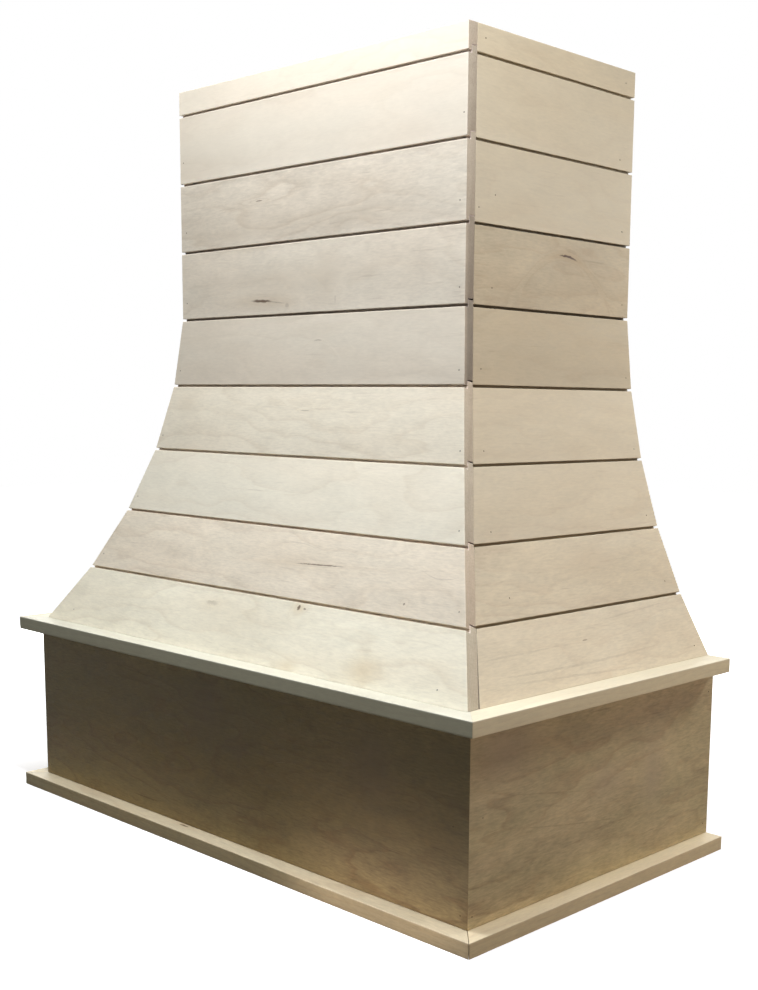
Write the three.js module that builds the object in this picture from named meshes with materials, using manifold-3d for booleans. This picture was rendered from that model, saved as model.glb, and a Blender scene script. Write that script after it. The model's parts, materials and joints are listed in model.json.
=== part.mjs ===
// A wooden range hood cover: shiplap boards that flare out over a plain apron with two mouldings.
// Millimetres, +Z up. The front faces -Y and the open back at +Y stands against the wall.
// The origin is on the plane of the foot moulding's underside, at the middle of its outline.
import * as THREE from "three";
import { mergeVertices } from "three/addons/utils/BufferGeometryUtils.js";
import Module from "manifold-3d";

const wasm = await Module();
wasm.setup();

// Overall sizes
const HEIGHT = 1066.8;
const UPPER_WIDTH = 584.2;
const UPPER_DEPTH = 341.3;
const APRON_WIDTH = 914.4;
const APRON_DEPTH = 501.65;
const LEDGE_TOP = 273.05;

// Shiplap courses
const BOARD = 15.875;
const STRIP_HEIGHT = 34.8;
const COURSE_HEIGHT = 99.2;
const UPRIGHT_COURSES = 3;
const FLARED_COURSES = 5;
const FLARE_STEP = THREE.MathUtils.degToRad(6.25);
const GROOVE = 3.6;
const LAP = 9.5;
const LIP = 6.35;
const LAP_SEAM = 0.4;
const TONGUE_ROOM = 1.2;
const BOARD_EASE = 0.5;
const SHORT_END = 2.2;

// Mouldings and panels
const PLANK = 19.05;
const OVERHANG = 25.4;
const LEDGE_REACH = 88.9;
const FOOT_REACH = 19.05;
const PLANK_EASE = 1;

// Frame behind the boards
const POST = 38.1;
const RIB_REACH = 63.5;
const TOP_RAIL = 63.5;
const HANGING_RAIL = 88.9;
const SILL_HEIGHT = 31.75;
const SILL_REACH = 60.325;

// Frame inside the apron
const CLEAT = 38.1;

// The gap between pieces that are joined face to face
const SEAM = 0.3;

const HALF_UPPER = UPPER_WIDTH / 2;
const HALF_APRON = APRON_WIDTH / 2;
const WALL = (APRON_DEPTH + OVERHANG) / 2;
const MITRE_GAP = SEAM / Math.SQRT2;

const cover = new THREE.Group();

// --- Materials --------------------------------------------------------------------------------

const WOOD = {
  frontBoard: { color: 0xe3d9c3, roughness: 0.7 },
  sideBoard: { color: 0xcbbfa7, roughness: 0.7 },
  moulding: { color: 0xd6c6a6, roughness: 0.66 },
  panel: { color: 0xb5a17e, roughness: 0.64 },
  frame: { color: 0xc2a878, roughness: 0.8 },
};

function wood(kind) {
  return new THREE.MeshStandardMaterial({ ...WOOD[kind], metalness: 0, flatShading: true });
}

function addPiece(parent, name, geometry, kind) {
  const mesh = new THREE.Mesh(geometry, wood(kind));
  mesh.name = name;
  parent.add(mesh);
  return mesh;
}

// --- The three faces --------------------------------------------------------------------------

// In a face's own frame X points out of the cover, Y points up, and Z runs level along the face.
// On the right face Z runs from the wall to the front, and on the left face from front to wall.
function makeFace(turn, x, y) {
  const upright = new THREE.Group();
  upright.rotation.x = Math.PI / 2;
  const face = new THREE.Group();
  face.rotation.z = turn;
  face.position.set(x, y, 0);
  face.add(upright);
  cover.add(face);
  return upright;
}

function makeFaces(halfWidth, depth) {
  return {
    front: makeFace(-Math.PI / 2, 0, WALL - depth),
    right: makeFace(0, halfWidth, WALL),
    left: makeFace(Math.PI, -halfWidth, WALL),
  };
}

const boardFaces = makeFaces(HALF_UPPER, UPPER_DEPTH);
const apronFaces = makeFaces(HALF_APRON, APRON_DEPTH);

// A section drawn in X and Y that runs along Z. Each end is cut by its own function of the
// section's point, so that the piece can end on a sloping neighbour or in a mitre.
function runBetween(section, [startAt, endAt]) {
  const options = { depth: 1, steps: 1, bevelEnabled: false };
  const geometry = new THREE.ExtrudeGeometry(new THREE.Shape(section), options);
  const place = geometry.attributes.position;
  for (let i = 0; i < place.count; i += 1) {
    const cutAt = place.getZ(i) === 0 ? startAt : endAt;
    place.setZ(i, cutAt(place.getX(i), place.getY(i)));
  }
  geometry.computeVertexNormals();
  return geometry;
}

// The ends of a piece on the front face, which reaches equally far to both sides
function acrossFront(halfAt) {
  return [(out, z) => -halfAt(out, z), halfAt];
}

// The ends of a piece on a side face, by their distances from the wall
function alongSide(side, nearWall, nearFrontAt) {
  if (side === "right") {
    return [() => nearWall, nearFrontAt];
  }
  return [(out, z) => -nearFrontAt(out, z), () => -nearWall];
}

// --- The courses of boards --------------------------------------------------------------------

// A course is a flat band of a face. It starts at its top point, and leans out by its tilt.
class Course {
  constructor(top, tilt, length) {
    this.top = top;
    this.tilt = tilt;
    this.length = length;
    this.down = new THREE.Vector2(Math.sin(tilt), -Math.cos(tilt));
    this.normal = new THREE.Vector2(Math.cos(tilt), Math.sin(tilt));
  }

  // The point at a distance down the slope and a depth behind the outer surface
  at(distance, depth) {
    const point = this.top.clone().addScaledVector(this.down, distance);
    return point.addScaledVector(this.normal, -depth);
  }

  // How far out the surface at this depth stands at a height
  outAt(depth, z) {
    return this.top.x + (this.top.y - z) * Math.tan(this.tilt) - depth / Math.cos(this.tilt);
  }

  // The point at a height on the surface at this depth
  atHeight(depth, z) {
    return new THREE.Vector2(this.outAt(depth, z), z);
  }
}

function layCourses() {
  const laid = [new Course(new THREE.Vector2(0, HEIGHT), 0, STRIP_HEIGHT)];
  const last = UPRIGHT_COURSES + FLARED_COURSES;
  for (let number = 1; number <= last; number += 1) {
    const above = laid.at(-1);
    const top = above.at(above.length, 0);
    const tilt = Math.max(0, number - UPRIGHT_COURSES) * FLARE_STEP;
    const toLedge = (top.y - LEDGE_TOP) / Math.cos(tilt);
    laid.push(new Course(top, tilt, number === last ? toLedge : COURSE_HEIGHT));
  }
  return laid;
}

const courses = layCourses();
const lowest = courses.at(-1);

// In a lap joint the upper board's thin lip covers the tongue of the lower board
const LIP_BACK = LIP - LAP_SEAM / 2;
const TONGUE_FRONT = LIP + LAP_SEAM / 2;
const TONGUE_RISE = LAP - GROOVE / 2;

// The upper end of a board's section, from the back round the tongue to the eased front edge
function boardHead(course, above) {
  if (!above) {
    return [course.at(0, BOARD), course.at(0, BOARD_EASE), course.at(BOARD_EASE, 0)];
  }
  const turn = course.tilt - above.tilt;
  const bevelled = (BOARD - TONGUE_RISE * Math.sin(turn)) / Math.cos(turn);
  const head = [
    course.at(-TONGUE_RISE, bevelled),
    course.at(-TONGUE_RISE, TONGUE_FRONT),
    course.at(GROOVE / 2, TONGUE_FRONT),
    course.at(GROOVE / 2, BOARD_EASE),
    course.at(GROOVE / 2 + BOARD_EASE, 0),
  ];
  if (turn > 0) {
    head.unshift(course.at(-BOARD * Math.tan(turn / 2), BOARD));
  }
  return head;
}

// The lower end, from the eased front edge round the lip to the back
function boardFoot(course) {
  if (course === lowest) {
    const level = LEDGE_TOP + SEAM;
    return [course.atHeight(0, level), course.atHeight(BOARD, level)];
  }
  const lipEnd = course.length - GROOVE / 2;
  const shoulder = course.length - TONGUE_RISE - TONGUE_ROOM;
  return [
    course.at(lipEnd - BOARD_EASE, 0),
    course.at(lipEnd, BOARD_EASE),
    course.at(lipEnd, LIP_BACK),
    course.at(shoulder, LIP_BACK),
    course.at(shoulder, BOARD),
  ];
}

// The lowest side boards are cut a little short at the foot, where their corner joint opens
function shortAt(course, z) {
  if (course !== lowest) {
    return 0;
  }
  const head = course.at(-TONGUE_RISE, 0).y;
  return (SHORT_END * (head - z)) / (head - LEDGE_TOP);
}

// The front boards end in the side boards' outer planes. The side boards stop behind them.
function addCourse(course, number) {
  const section = [...boardHead(course, courses[number - 1]), ...boardFoot(course)];
  const piece = number === 0 ? "top_strip" : `board_${number}`;
  const frontEnds = acrossFront((out, z) => HALF_UPPER + course.outAt(0, z));
  const behindFront = (out, z) =>
    UPPER_DEPTH + course.outAt(BOARD + SEAM, z) - shortAt(course, z);
  addPiece(boardFaces.front, `front_${piece}`, runBetween(section, frontEnds), "frontBoard");
  for (const side of ["right", "left"]) {
    const sideEnds = alongSide(side, 0, behindFront);
    addPiece(boardFaces[side], `${side}_${piece}`, runBetween(section, sideEnds), "sideBoard");
  }
}

// --- The frame behind the boards --------------------------------------------------------------

// The line that the frame's outer edges follow, just behind the boards, from a height down
function backLine(topZ, footZ) {
  const depth = BOARD + SEAM;
  const line = [courses[0].atHeight(depth, topZ)];
  for (let i = 1; i < courses.length; i += 1) {
    const turn = courses[i].tilt - courses[i - 1].tilt;
    if (turn > 0) {
      line.push(courses[i].at(-depth * Math.tan(turn / 2), depth));
    }
  }
  line.push(lowest.atHeight(depth, footZ));
  return line;
}

// A band of even reach behind the boards
function ribSection(reach, topZ, footZ) {
  const outer = backLine(topZ, footZ);
  const inner = outer.map((point) => new THREE.Vector2(point.x - reach, point.y));
  return [...outer, ...inner.reverse()];
}

function toSolid(geometry, face) {
  face.updateWorldMatrix(true, false);
  const placed = geometry.clone().applyMatrix4(face.matrixWorld);
  placed.deleteAttribute("normal");
  placed.deleteAttribute("uv");
  const merged = mergeVertices(placed);
  const vertProperties = new Float32Array(merged.attributes.position.array);
  const triVerts = new Uint32Array(merged.index.array);
  return new wasm.Manifold(new wasm.Mesh({ numProp: 3, vertProperties, triVerts }));
}

function toGeometry(solid) {
  const { vertProperties, triVerts } = solid.getMesh();
  const geometry = new THREE.BufferGeometry();
  geometry.setAttribute("position", new THREE.BufferAttribute(new Float32Array(vertProperties), 3));
  geometry.setIndex(new THREE.BufferAttribute(new Uint32Array(triVerts), 1));
  geometry.computeVertexNormals();
  return geometry;
}

// A corner post is the square that a band behind the front shares with a band behind the side,
// so it follows both faces down the corner.
function addCornerPost(side) {
  const band = ribSection(POST, HEIGHT, LEDGE_TOP + SEAM);
  const toMiddle = side === "right" ? [() => -HALF_APRON, () => 0] : [() => 0, () => HALF_APRON];
  const behindFront = toSolid(runBetween(band, toMiddle), boardFaces.front);
  const wholeSide = alongSide(side, POST, () => APRON_DEPTH);
  const behindSide = toSolid(runBetween(band, wholeSide), boardFaces[side]);
  const post = behindFront.intersect(behindSide);
  addPiece(cover, `corner_post_${side}`, toGeometry(post), "frame");
}

function addBackStile(side) {
  const band = ribSection(POST, HEIGHT, LEDGE_TOP + SEAM);
  const ends = alongSide(side, 0, () => POST);
  addPiece(boardFaces[side], `back_stile_${side}`, runBetween(band, ends), "frame");
}

function addCentreRib() {
  const topZ = HEIGHT - TOP_RAIL - SEAM;
  const footZ = LEDGE_TOP + SILL_HEIGHT + 2 * SEAM;
  const band = ribSection(RIB_REACH, topZ, footZ);
  const ends = acrossFront(() => PLANK / 2);
  addPiece(boardFaces.front, "centre_rib", runBetween(band, ends), "frame");
}

// The sills lie on the ledge and are bevelled to the lowest boards. The front one fits between
// the corner posts, and each side one between the front one and the stile at the wall.
function addSills() {
  const depth = BOARD + SEAM;
  const footZ = LEDGE_TOP + SEAM;
  const foot = lowest.atHeight(depth, footZ);
  const head = lowest.atHeight(depth, footZ + SILL_HEIGHT);
  const back = foot.x - SILL_REACH;
  const section = [
    head,
    foot,
    new THREE.Vector2(back, foot.y),
    new THREE.Vector2(back, head.y),
  ];
  const toPost = (out, z) => HALF_UPPER + lowest.outAt(depth, z) - POST - SEAM;
  addPiece(boardFaces.front, "sill_front", runBetween(section, acrossFront(toPost)), "frame");
  for (const side of ["right", "left"]) {
    const sideEnds = alongSide(side, POST + SEAM, () => UPPER_DEPTH + back - SEAM);
    addPiece(boardFaces[side], `sill_${side}`, runBetween(section, sideEnds), "frame");
  }
}

// A level bar on a face: its depth behind the face from outer to inner, and its lower and upper z
function barSection(outer, inner, lowZ, highZ) {
  return [
    new THREE.Vector2(-outer, lowZ),
    new THREE.Vector2(-outer, highZ),
    new THREE.Vector2(-inner, highZ),
    new THREE.Vector2(-inner, lowZ),
  ];
}

function addTopRails() {
  const outer = BOARD + SEAM;
  const section = barSection(outer, outer + PLANK, HEIGHT - TOP_RAIL, HEIGHT);
  const clear = outer + POST + SEAM;
  const frontEnds = acrossFront(() => HALF_UPPER - clear);
  addPiece(boardFaces.front, "top_rail_front", runBetween(section, frontEnds), "frame");
  for (const side of ["right", "left"]) {
    const sideEnds = alongSide(side, POST + SEAM, () => UPPER_DEPTH - clear);
    addPiece(boardFaces[side], `top_rail_${side}`, runBetween(section, sideEnds), "frame");
  }
}

// A rail across the open back, flush with the wall plane
function addBackRail(name, halfLength, height, topZ) {
  const rail = new THREE.BoxGeometry(2 * halfLength, PLANK, height);
  const mesh = addPiece(cover, name, rail, "frame");
  mesh.position.set(0, WALL - PLANK / 2, topZ - height / 2);
}

function addHangingRail() {
  const halfLength = HALF_UPPER - BOARD - POST - 2 * SEAM;
  addBackRail("hanging_rail", halfLength, HANGING_RAIL, HEIGHT);
}

// --- The apron and its mouldings --------------------------------------------------------------

const APRON_TOP = LEDGE_TOP - PLANK - SEAM;
const APRON_FOOT = PLANK + SEAM;

// One section run round the front and both sides, with mitred corners
function addMitredSet(name, section, kind) {
  const frontEnds = acrossFront((out) => HALF_APRON + out - MITRE_GAP);
  addPiece(apronFaces.front, `${name}_front`, runBetween(section, frontEnds), kind);
  for (const side of ["right", "left"]) {
    const sideEnds = alongSide(side, 0, (out) => APRON_DEPTH + out - MITRE_GAP);
    addPiece(apronFaces[side], `${name}_${side}`, runBetween(section, sideEnds), kind);
  }
}

// A flat moulding's section, with its two outer edges eased
function mouldingSection(reach, lowZ) {
  const highZ = lowZ + PLANK;
  const eased = OVERHANG - PLANK_EASE;
  return [
    new THREE.Vector2(-reach, lowZ),
    new THREE.Vector2(eased, lowZ),
    new THREE.Vector2(OVERHANG, lowZ + PLANK_EASE),
    new THREE.Vector2(OVERHANG, highZ - PLANK_EASE),
    new THREE.Vector2(eased, highZ),
    new THREE.Vector2(-reach, highZ),
  ];
}

// Cleats screwed round the inside of the apron, from one depth to another behind the panels.
// The front one fits between two pieces at the corners, and the side ones start off the wall.
function addCleats(name, thickness, lowZ, highZ, cornerInset, wallInset) {
  const outer = PLANK + SEAM;
  const section = barSection(outer, outer + thickness, lowZ, highZ);
  const frontEnds = acrossFront(() => HALF_APRON - outer - cornerInset);
  addPiece(apronFaces.front, `${name}_front`, runBetween(section, frontEnds), "frame");
  for (const side of ["right", "left"]) {
    const sideEnds = alongSide(side, wallInset, () => APRON_DEPTH - outer - CLEAT - SEAM);
    addPiece(apronFaces[side], `${name}_${side}`, runBetween(section, sideEnds), "frame");
  }
}

// A glue block stands in each front corner, on the cleats that carry the hood insert
function addApronBlocks() {
  const lowZ = APRON_FOOT + PLANK + SEAM;
  const inset = PLANK + SEAM;
  const section = barSection(inset, inset + CLEAT, lowZ, APRON_TOP);
  const nearFront = APRON_DEPTH - inset;
  for (const side of ["right", "left"]) {
    const ends = alongSide(side, nearFront - CLEAT, () => nearFront);
    addPiece(apronFaces[side], `apron_block_${side}`, runBetween(section, ends), "frame");
  }
}

function addApron() {
  const panel = barSection(0, PLANK, APRON_FOOT, APRON_TOP);
  addMitredSet("apron", panel, "panel");
  addMitredSet("ledge", mouldingSection(LEDGE_REACH, LEDGE_TOP - PLANK), "moulding");
  addMitredSet("foot", mouldingSection(FOOT_REACH, 0), "moulding");
  addCleats("insert_cleat", CLEAT, APRON_FOOT, APRON_FOOT + PLANK, 0, 0);
  addCleats("ledge_cleat", PLANK, APRON_TOP - CLEAT, APRON_TOP, CLEAT + SEAM, PLANK + SEAM);
  addApronBlocks();
  addBackRail("apron_back_rail", HALF_APRON - PLANK - SEAM, HANGING_RAIL, APRON_TOP);
}

// --- The cover --------------------------------------------------------------------------------

courses.forEach(addCourse);
addCornerPost("right");
addCornerPost("left");
addBackStile("right");
addBackStile("left");
addCentreRib();
addTopRails();
addSills();
addHangingRail();
addApron();

export default cover;
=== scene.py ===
"""A wooden range hood cover: shiplap boards that flare out over a plain apron and two mouldings.

Metres, +Z up. The front faces -Y, the open back is at +Y, and the foot stands on Z = 0. Each
visible board, moulding and panel is a section carried along a straight line between two cuts.
The inner frame keeps its own solids, with eased edges and wood of its own.
"""
import json
import logging
import math
from dataclasses import dataclass
from enum import Enum
from typing import Any, Callable, Mapping, Sequence

import bpy
import numpy as np
from mathutils import Matrix


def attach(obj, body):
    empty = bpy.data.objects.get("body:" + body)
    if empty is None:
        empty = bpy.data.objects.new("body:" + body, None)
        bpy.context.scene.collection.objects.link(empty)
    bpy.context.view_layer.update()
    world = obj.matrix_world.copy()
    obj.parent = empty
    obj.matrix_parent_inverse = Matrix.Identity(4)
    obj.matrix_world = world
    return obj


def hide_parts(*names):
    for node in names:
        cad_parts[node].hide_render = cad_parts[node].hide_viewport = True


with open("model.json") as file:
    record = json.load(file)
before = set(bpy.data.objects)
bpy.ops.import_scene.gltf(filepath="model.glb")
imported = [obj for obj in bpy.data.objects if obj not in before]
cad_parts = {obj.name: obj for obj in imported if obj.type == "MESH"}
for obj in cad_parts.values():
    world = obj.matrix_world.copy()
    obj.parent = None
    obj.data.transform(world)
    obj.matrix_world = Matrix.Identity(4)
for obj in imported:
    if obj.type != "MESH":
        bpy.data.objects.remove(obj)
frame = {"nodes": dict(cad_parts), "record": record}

log = logging.getLogger("hood_cover")

Array = np.ndarray
Rgb = tuple[float, float, float]
Paint = tuple[float, float, float, float]
CutAt = Callable[[Array, Array], Array]

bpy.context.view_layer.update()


# --- Sizes ------------------------------------------------------------------------------------


@dataclass(frozen=True)
class CoverSizes:
    """The sizes that the sub-assemblies share, in metres and radians."""

    height: float = 1.0668
    upper_width: float = 0.5842
    upper_depth: float = 0.3413
    apron_width: float = 0.9144
    apron_depth: float = 0.50165
    ledge_top: float = 0.27305
    plank: float = 0.01905
    overhang: float = 0.0254
    seam: float = 0.0003

    @property
    def wall(self) -> float:
        """The Y of the plane that stands against the wall."""
        return (self.apron_depth + self.overhang) / 2


class Face(Enum):
    """The three faces of the cover, as seen from the room."""

    FRONT = "front"
    RIGHT = "right"
    LEFT = "left"


@dataclass(frozen=True)
class FacePlane:
    """An upright plane that a section is drawn on and carried along."""

    face: Face
    half_width: float
    depth: float
    wall: float

    def place(self, out: Array, height: Array, along: Array) -> Array:
        """Turn a face's own coordinates into points.

        On the front, along is X, and the point stands out from the front plane. On the sides,
        along is the distance from the wall, and the left side mirrors the right one.

        Args:
            out: Distances out of the face.
            height: Heights.
            along: Level distances along the face.

        Returns:
            The points, with X, Y and Z on the last axis.
        """
        if self.face is Face.FRONT:
            return np.stack([along, self.wall - self.depth - out, height], axis=-1)
        sign = 1.0 if self.face is Face.RIGHT else -1.0
        return np.stack([sign * (self.half_width + out), self.wall - along, height], axis=-1)


# --- Sections and the pieces cut from them ----------------------------------------------------

# How meshes are divided: the chords of a rounded corner and of an eased end, the distance of
# support rows from the ends of a long edge, the shortest edge that has them, the least distance
# of a row from a corner, and the angle past which an edge is drawn sharp.
CHORDS = 3
SUPPORT, SHORTEST, CLEAR = 0.0015, 0.006, 0.0004
SHARP = math.radians(35)

# The distances from the middle of a nail hole at which rows and rings of points lie.
FINE = np.array([-1.15, -0.85, -0.6, -0.3, 0.0, 0.3, 0.6, 0.85, 1.15]) * 0.001

# How far the sanding and the painted highlight of an arris reach from it, how far before its cuts
# the relief of a face fades out, and how far behind the face the machined faces of a lap begin,
# which are darker partly in their own tone and partly as painted shade, and how soon they are in
# full.
WEAR_AND_HIGHLIGHT_REACH, RELIEF_FADE = 0.003, 0.004
MILLED_SHADE_FROM, MILLED_SHADE_OVER = 0.0006, 0.001


@dataclass(frozen=True)
class Outline:
    """A closed section: its points, its exposed arrises, and which points lie on the show face.

    points holds the distance across the wide face and the depth behind it, which are also the
    wood's own coordinates.
    """

    points: Array
    arrises: Array
    skin: Array


def merged(blocks: Sequence[Array]) -> Array:
    """Blocks of shares as one in order, with those that agree to seven places merged."""
    return np.unique(np.round(np.concatenate(blocks), 7))


def smooth_step(share: Array) -> Array:
    """The share, held between 0 and 1, as its square times three less twice itself."""
    held = np.clip(share, 0, 1)
    return held * held * (3 - 2 * held)


def rounded(corners: Array, radii: Array) -> Array:
    """Round each corner of a closed outline.

    With the unit vectors a and b from a corner to its neighbours and the angle f between them,
    the arc of radius r starts r / tan(f / 2) along a, ends as far along b, and has its centre
    r / sin(f / 2) along their bisector. Its points blend the two spokes by sin((1 - k) g) and
    sin(k g) over sin(g), where g = pi - f and k runs from 0 to 1.

    Args:
        corners: The corners, one row each.
        radii: The radius at each corner.

    Returns:
        The points of the arcs, one block of rows for each corner.
    """
    back = np.roll(corners, 1, axis=0) - corners
    ahead = np.roll(corners, -1, axis=0) - corners
    back /= np.linalg.norm(back, axis=1, keepdims=True)
    ahead /= np.linalg.norm(ahead, axis=1, keepdims=True)
    between = np.arccos(np.clip((back * ahead).sum(axis=1), -1.0, 1.0))
    reach = (radii / np.tan(between / 2))[:, None]
    bisector = back + ahead
    bisector /= np.linalg.norm(bisector, axis=1, keepdims=True)
    centre = corners + bisector * (radii / np.sin(between / 2))[:, None]
    first, last = corners + back * reach - centre, corners + ahead * reach - centre
    turn = (math.pi - between)[:, None]
    k = np.linspace(0.0, 1.0, CHORDS + 1)[None, :]
    weight_first = np.sin((1 - k) * turn) / np.sin(turn)
    weight_last = np.sin(k * turn) / np.sin(turn)
    arcs = centre[:, None] + weight_first[..., None] * first[:, None]
    return arcs + weight_last[..., None] * last[:, None]


def make_outline(corners: Sequence[tuple[float, float]], radii: Sequence[float],
                 exposed: Sequence[int], skin_edge: int, rows: Array) -> Outline:
    """Build a section with rounded corners, rows on its show face, and supports on long edges.

    Args:
        corners: The section's corners in order, as distance across and depth behind.
        radii: The radius of each corner.
        exposed: The corners that hands and sandpaper reach.
        skin_edge: The corner from which the show face's edge starts.
        rows: The distances across at which the show face has a row of points.

    Returns:
        The finished outline.
    """
    sharp = np.array(corners, float)
    arcs = rounded(sharp, np.array(radii, float))
    blocks, skin = [], []
    for number, arc in enumerate(arcs):
        blocks.append(arc)
        skin.append(np.zeros(len(arc), bool))
        start, end = arc[-1], arcs[(number + 1) % len(arcs)][0]
        length = float(np.linalg.norm(end - start))
        shares = np.array([SUPPORT, length - SUPPORT] if length > SHORTEST else []) / length
        if number == skin_edge:
            wanted = (rows - start[0]) / (end[0] - start[0])
            inside = wanted[(wanted > CLEAR / length) & (wanted < 1 - CLEAR / length)]
            shares = merged([shares, inside])
        blocks.append(start + shares[:, None] * (end - start))
        skin.append(np.full(len(shares), number == skin_edge))
    return Outline(np.concatenate(blocks), sharp[list(exposed)], np.concatenate(skin))


@dataclass(frozen=True)
class BradHole:
    """The hole that a nail gun leaves, by its place along the face and across the board."""

    along: float
    across: float


@dataclass(frozen=True)
class Relief:
    """The small departures of a sanded show face from flat, and painted shade in its nail holes."""

    holes: tuple[BradHole, ...] = ()
    hole_radius: float = 0.00075
    hole_depth: float = 0.0011
    hole_floor: float = 0.3
    # Painted shade in and round a hole: full out to the first distance in radii, gone at the
    # second.
    hole_shade_from: float = 0.9
    hole_shade_to: float = 1.5
    swell: float = 0.00005
    waves: int = 4
    wave_lengths: tuple[float, float] = (0.07, 0.19)
    wave_turn: float = 1.2
    seed: int = 0

    def depth(self, along: Array, across: Array) -> tuple[Array, Array]:
        """How far each point lies under the flat face, and how much painted shade of a nail hole it
        gets.

        The swell is a sum of sine waves with seeded lengths, directions and phases. With the
        distance from a hole in radii, the depth is a smooth step from the hole's floor out to
        its rim at 1, and the share one from where its darkness starts to fade to its end.

        Args:
            along: Distances along the face.
            across: Distances across it.

        Returns:
            The depths and the shares of hole.
        """
        rng = np.random.default_rng(self.seed)
        depth = np.zeros_like(along)
        lengths = rng.uniform(*self.wave_lengths, self.waves)
        angles = rng.uniform(-self.wave_turn, self.wave_turn, self.waves)
        phases = rng.uniform(0, math.tau, self.waves)
        for length, angle, phase in zip(lengths, angles, phases):
            run = along * math.cos(angle) + across * math.sin(angle)
            depth += self.swell / 2 * (1 + np.sin(math.tau * run / length + phase))
        share = np.zeros_like(along)
        for hole in self.holes:
            away = np.hypot(along - hole.along, across - hole.across) / self.hole_radius
            depth += self.hole_depth * smooth_step((1 - away) / (1 - self.hole_floor))
            # The painted shade of the hole, fading out between the two distances.
            dark = (self.hole_shade_to - away) / (self.hole_shade_to - self.hole_shade_from)
            share = np.maximum(share, smooth_step(dark))
        return depth, share


@dataclass(frozen=True)
class Stain:
    """A soft darker area of a board, by its middle, its half sizes and its slope."""

    along: float
    across: float
    half_length: float
    half_height: float
    strength: float
    slope: float = 0.0


# How much of a look's warmth is added to red, where all of it is taken from blue.
WARM_RED = 0.6


@dataclass(frozen=True)
class Look:
    """What sets one piece of wood apart from the next; on some pieces it carries painted shade.

    tone is its lightness, warmth and green shift its hue, figured is the strength of its marks,
    groove is the tone of its laps, which is partly their own and partly painted shade, and ends is
    that of its sawn ends.
    """

    tone: float = 1.0
    warmth: float = 0.0
    figured: float = 1.0
    stains: tuple[Stain, ...] = ()
    groove: float = 1.0
    ends: float = 1.0
    green: float = 0.0

    @property
    def tint(self) -> Array:
        """What the wood's red, green and blue are multiplied by.

        The tone times three shares: 1 plus red's part of the warmth less the green, 1, and 1
        less both.
        """
        return self.tone * np.array([1 + WARM_RED * self.warmth - self.green, 1.0,
                                     1 - self.warmth - self.green])

    def stained(self, along: Array, across: Array) -> Array:
        """How stained each point is.

        With x and y the distances from a stain's middle in half sizes, and y moved by the slope
        times x, each stain is its strength times e to the power of minus x squared, minus y
        squared. The stains add up.

        Args:
            along: Distances along the face.
            across: Distances across the board.

        Returns:
            The sum of the stains.
        """
        total = np.zeros_like(along)
        for mark in self.stains:
            x = (along - mark.along) / mark.half_length
            y = (across - mark.across) / mark.half_height + mark.slope * x
            total += mark.strength * np.exp(-x * x - y * y)
        return total


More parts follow.
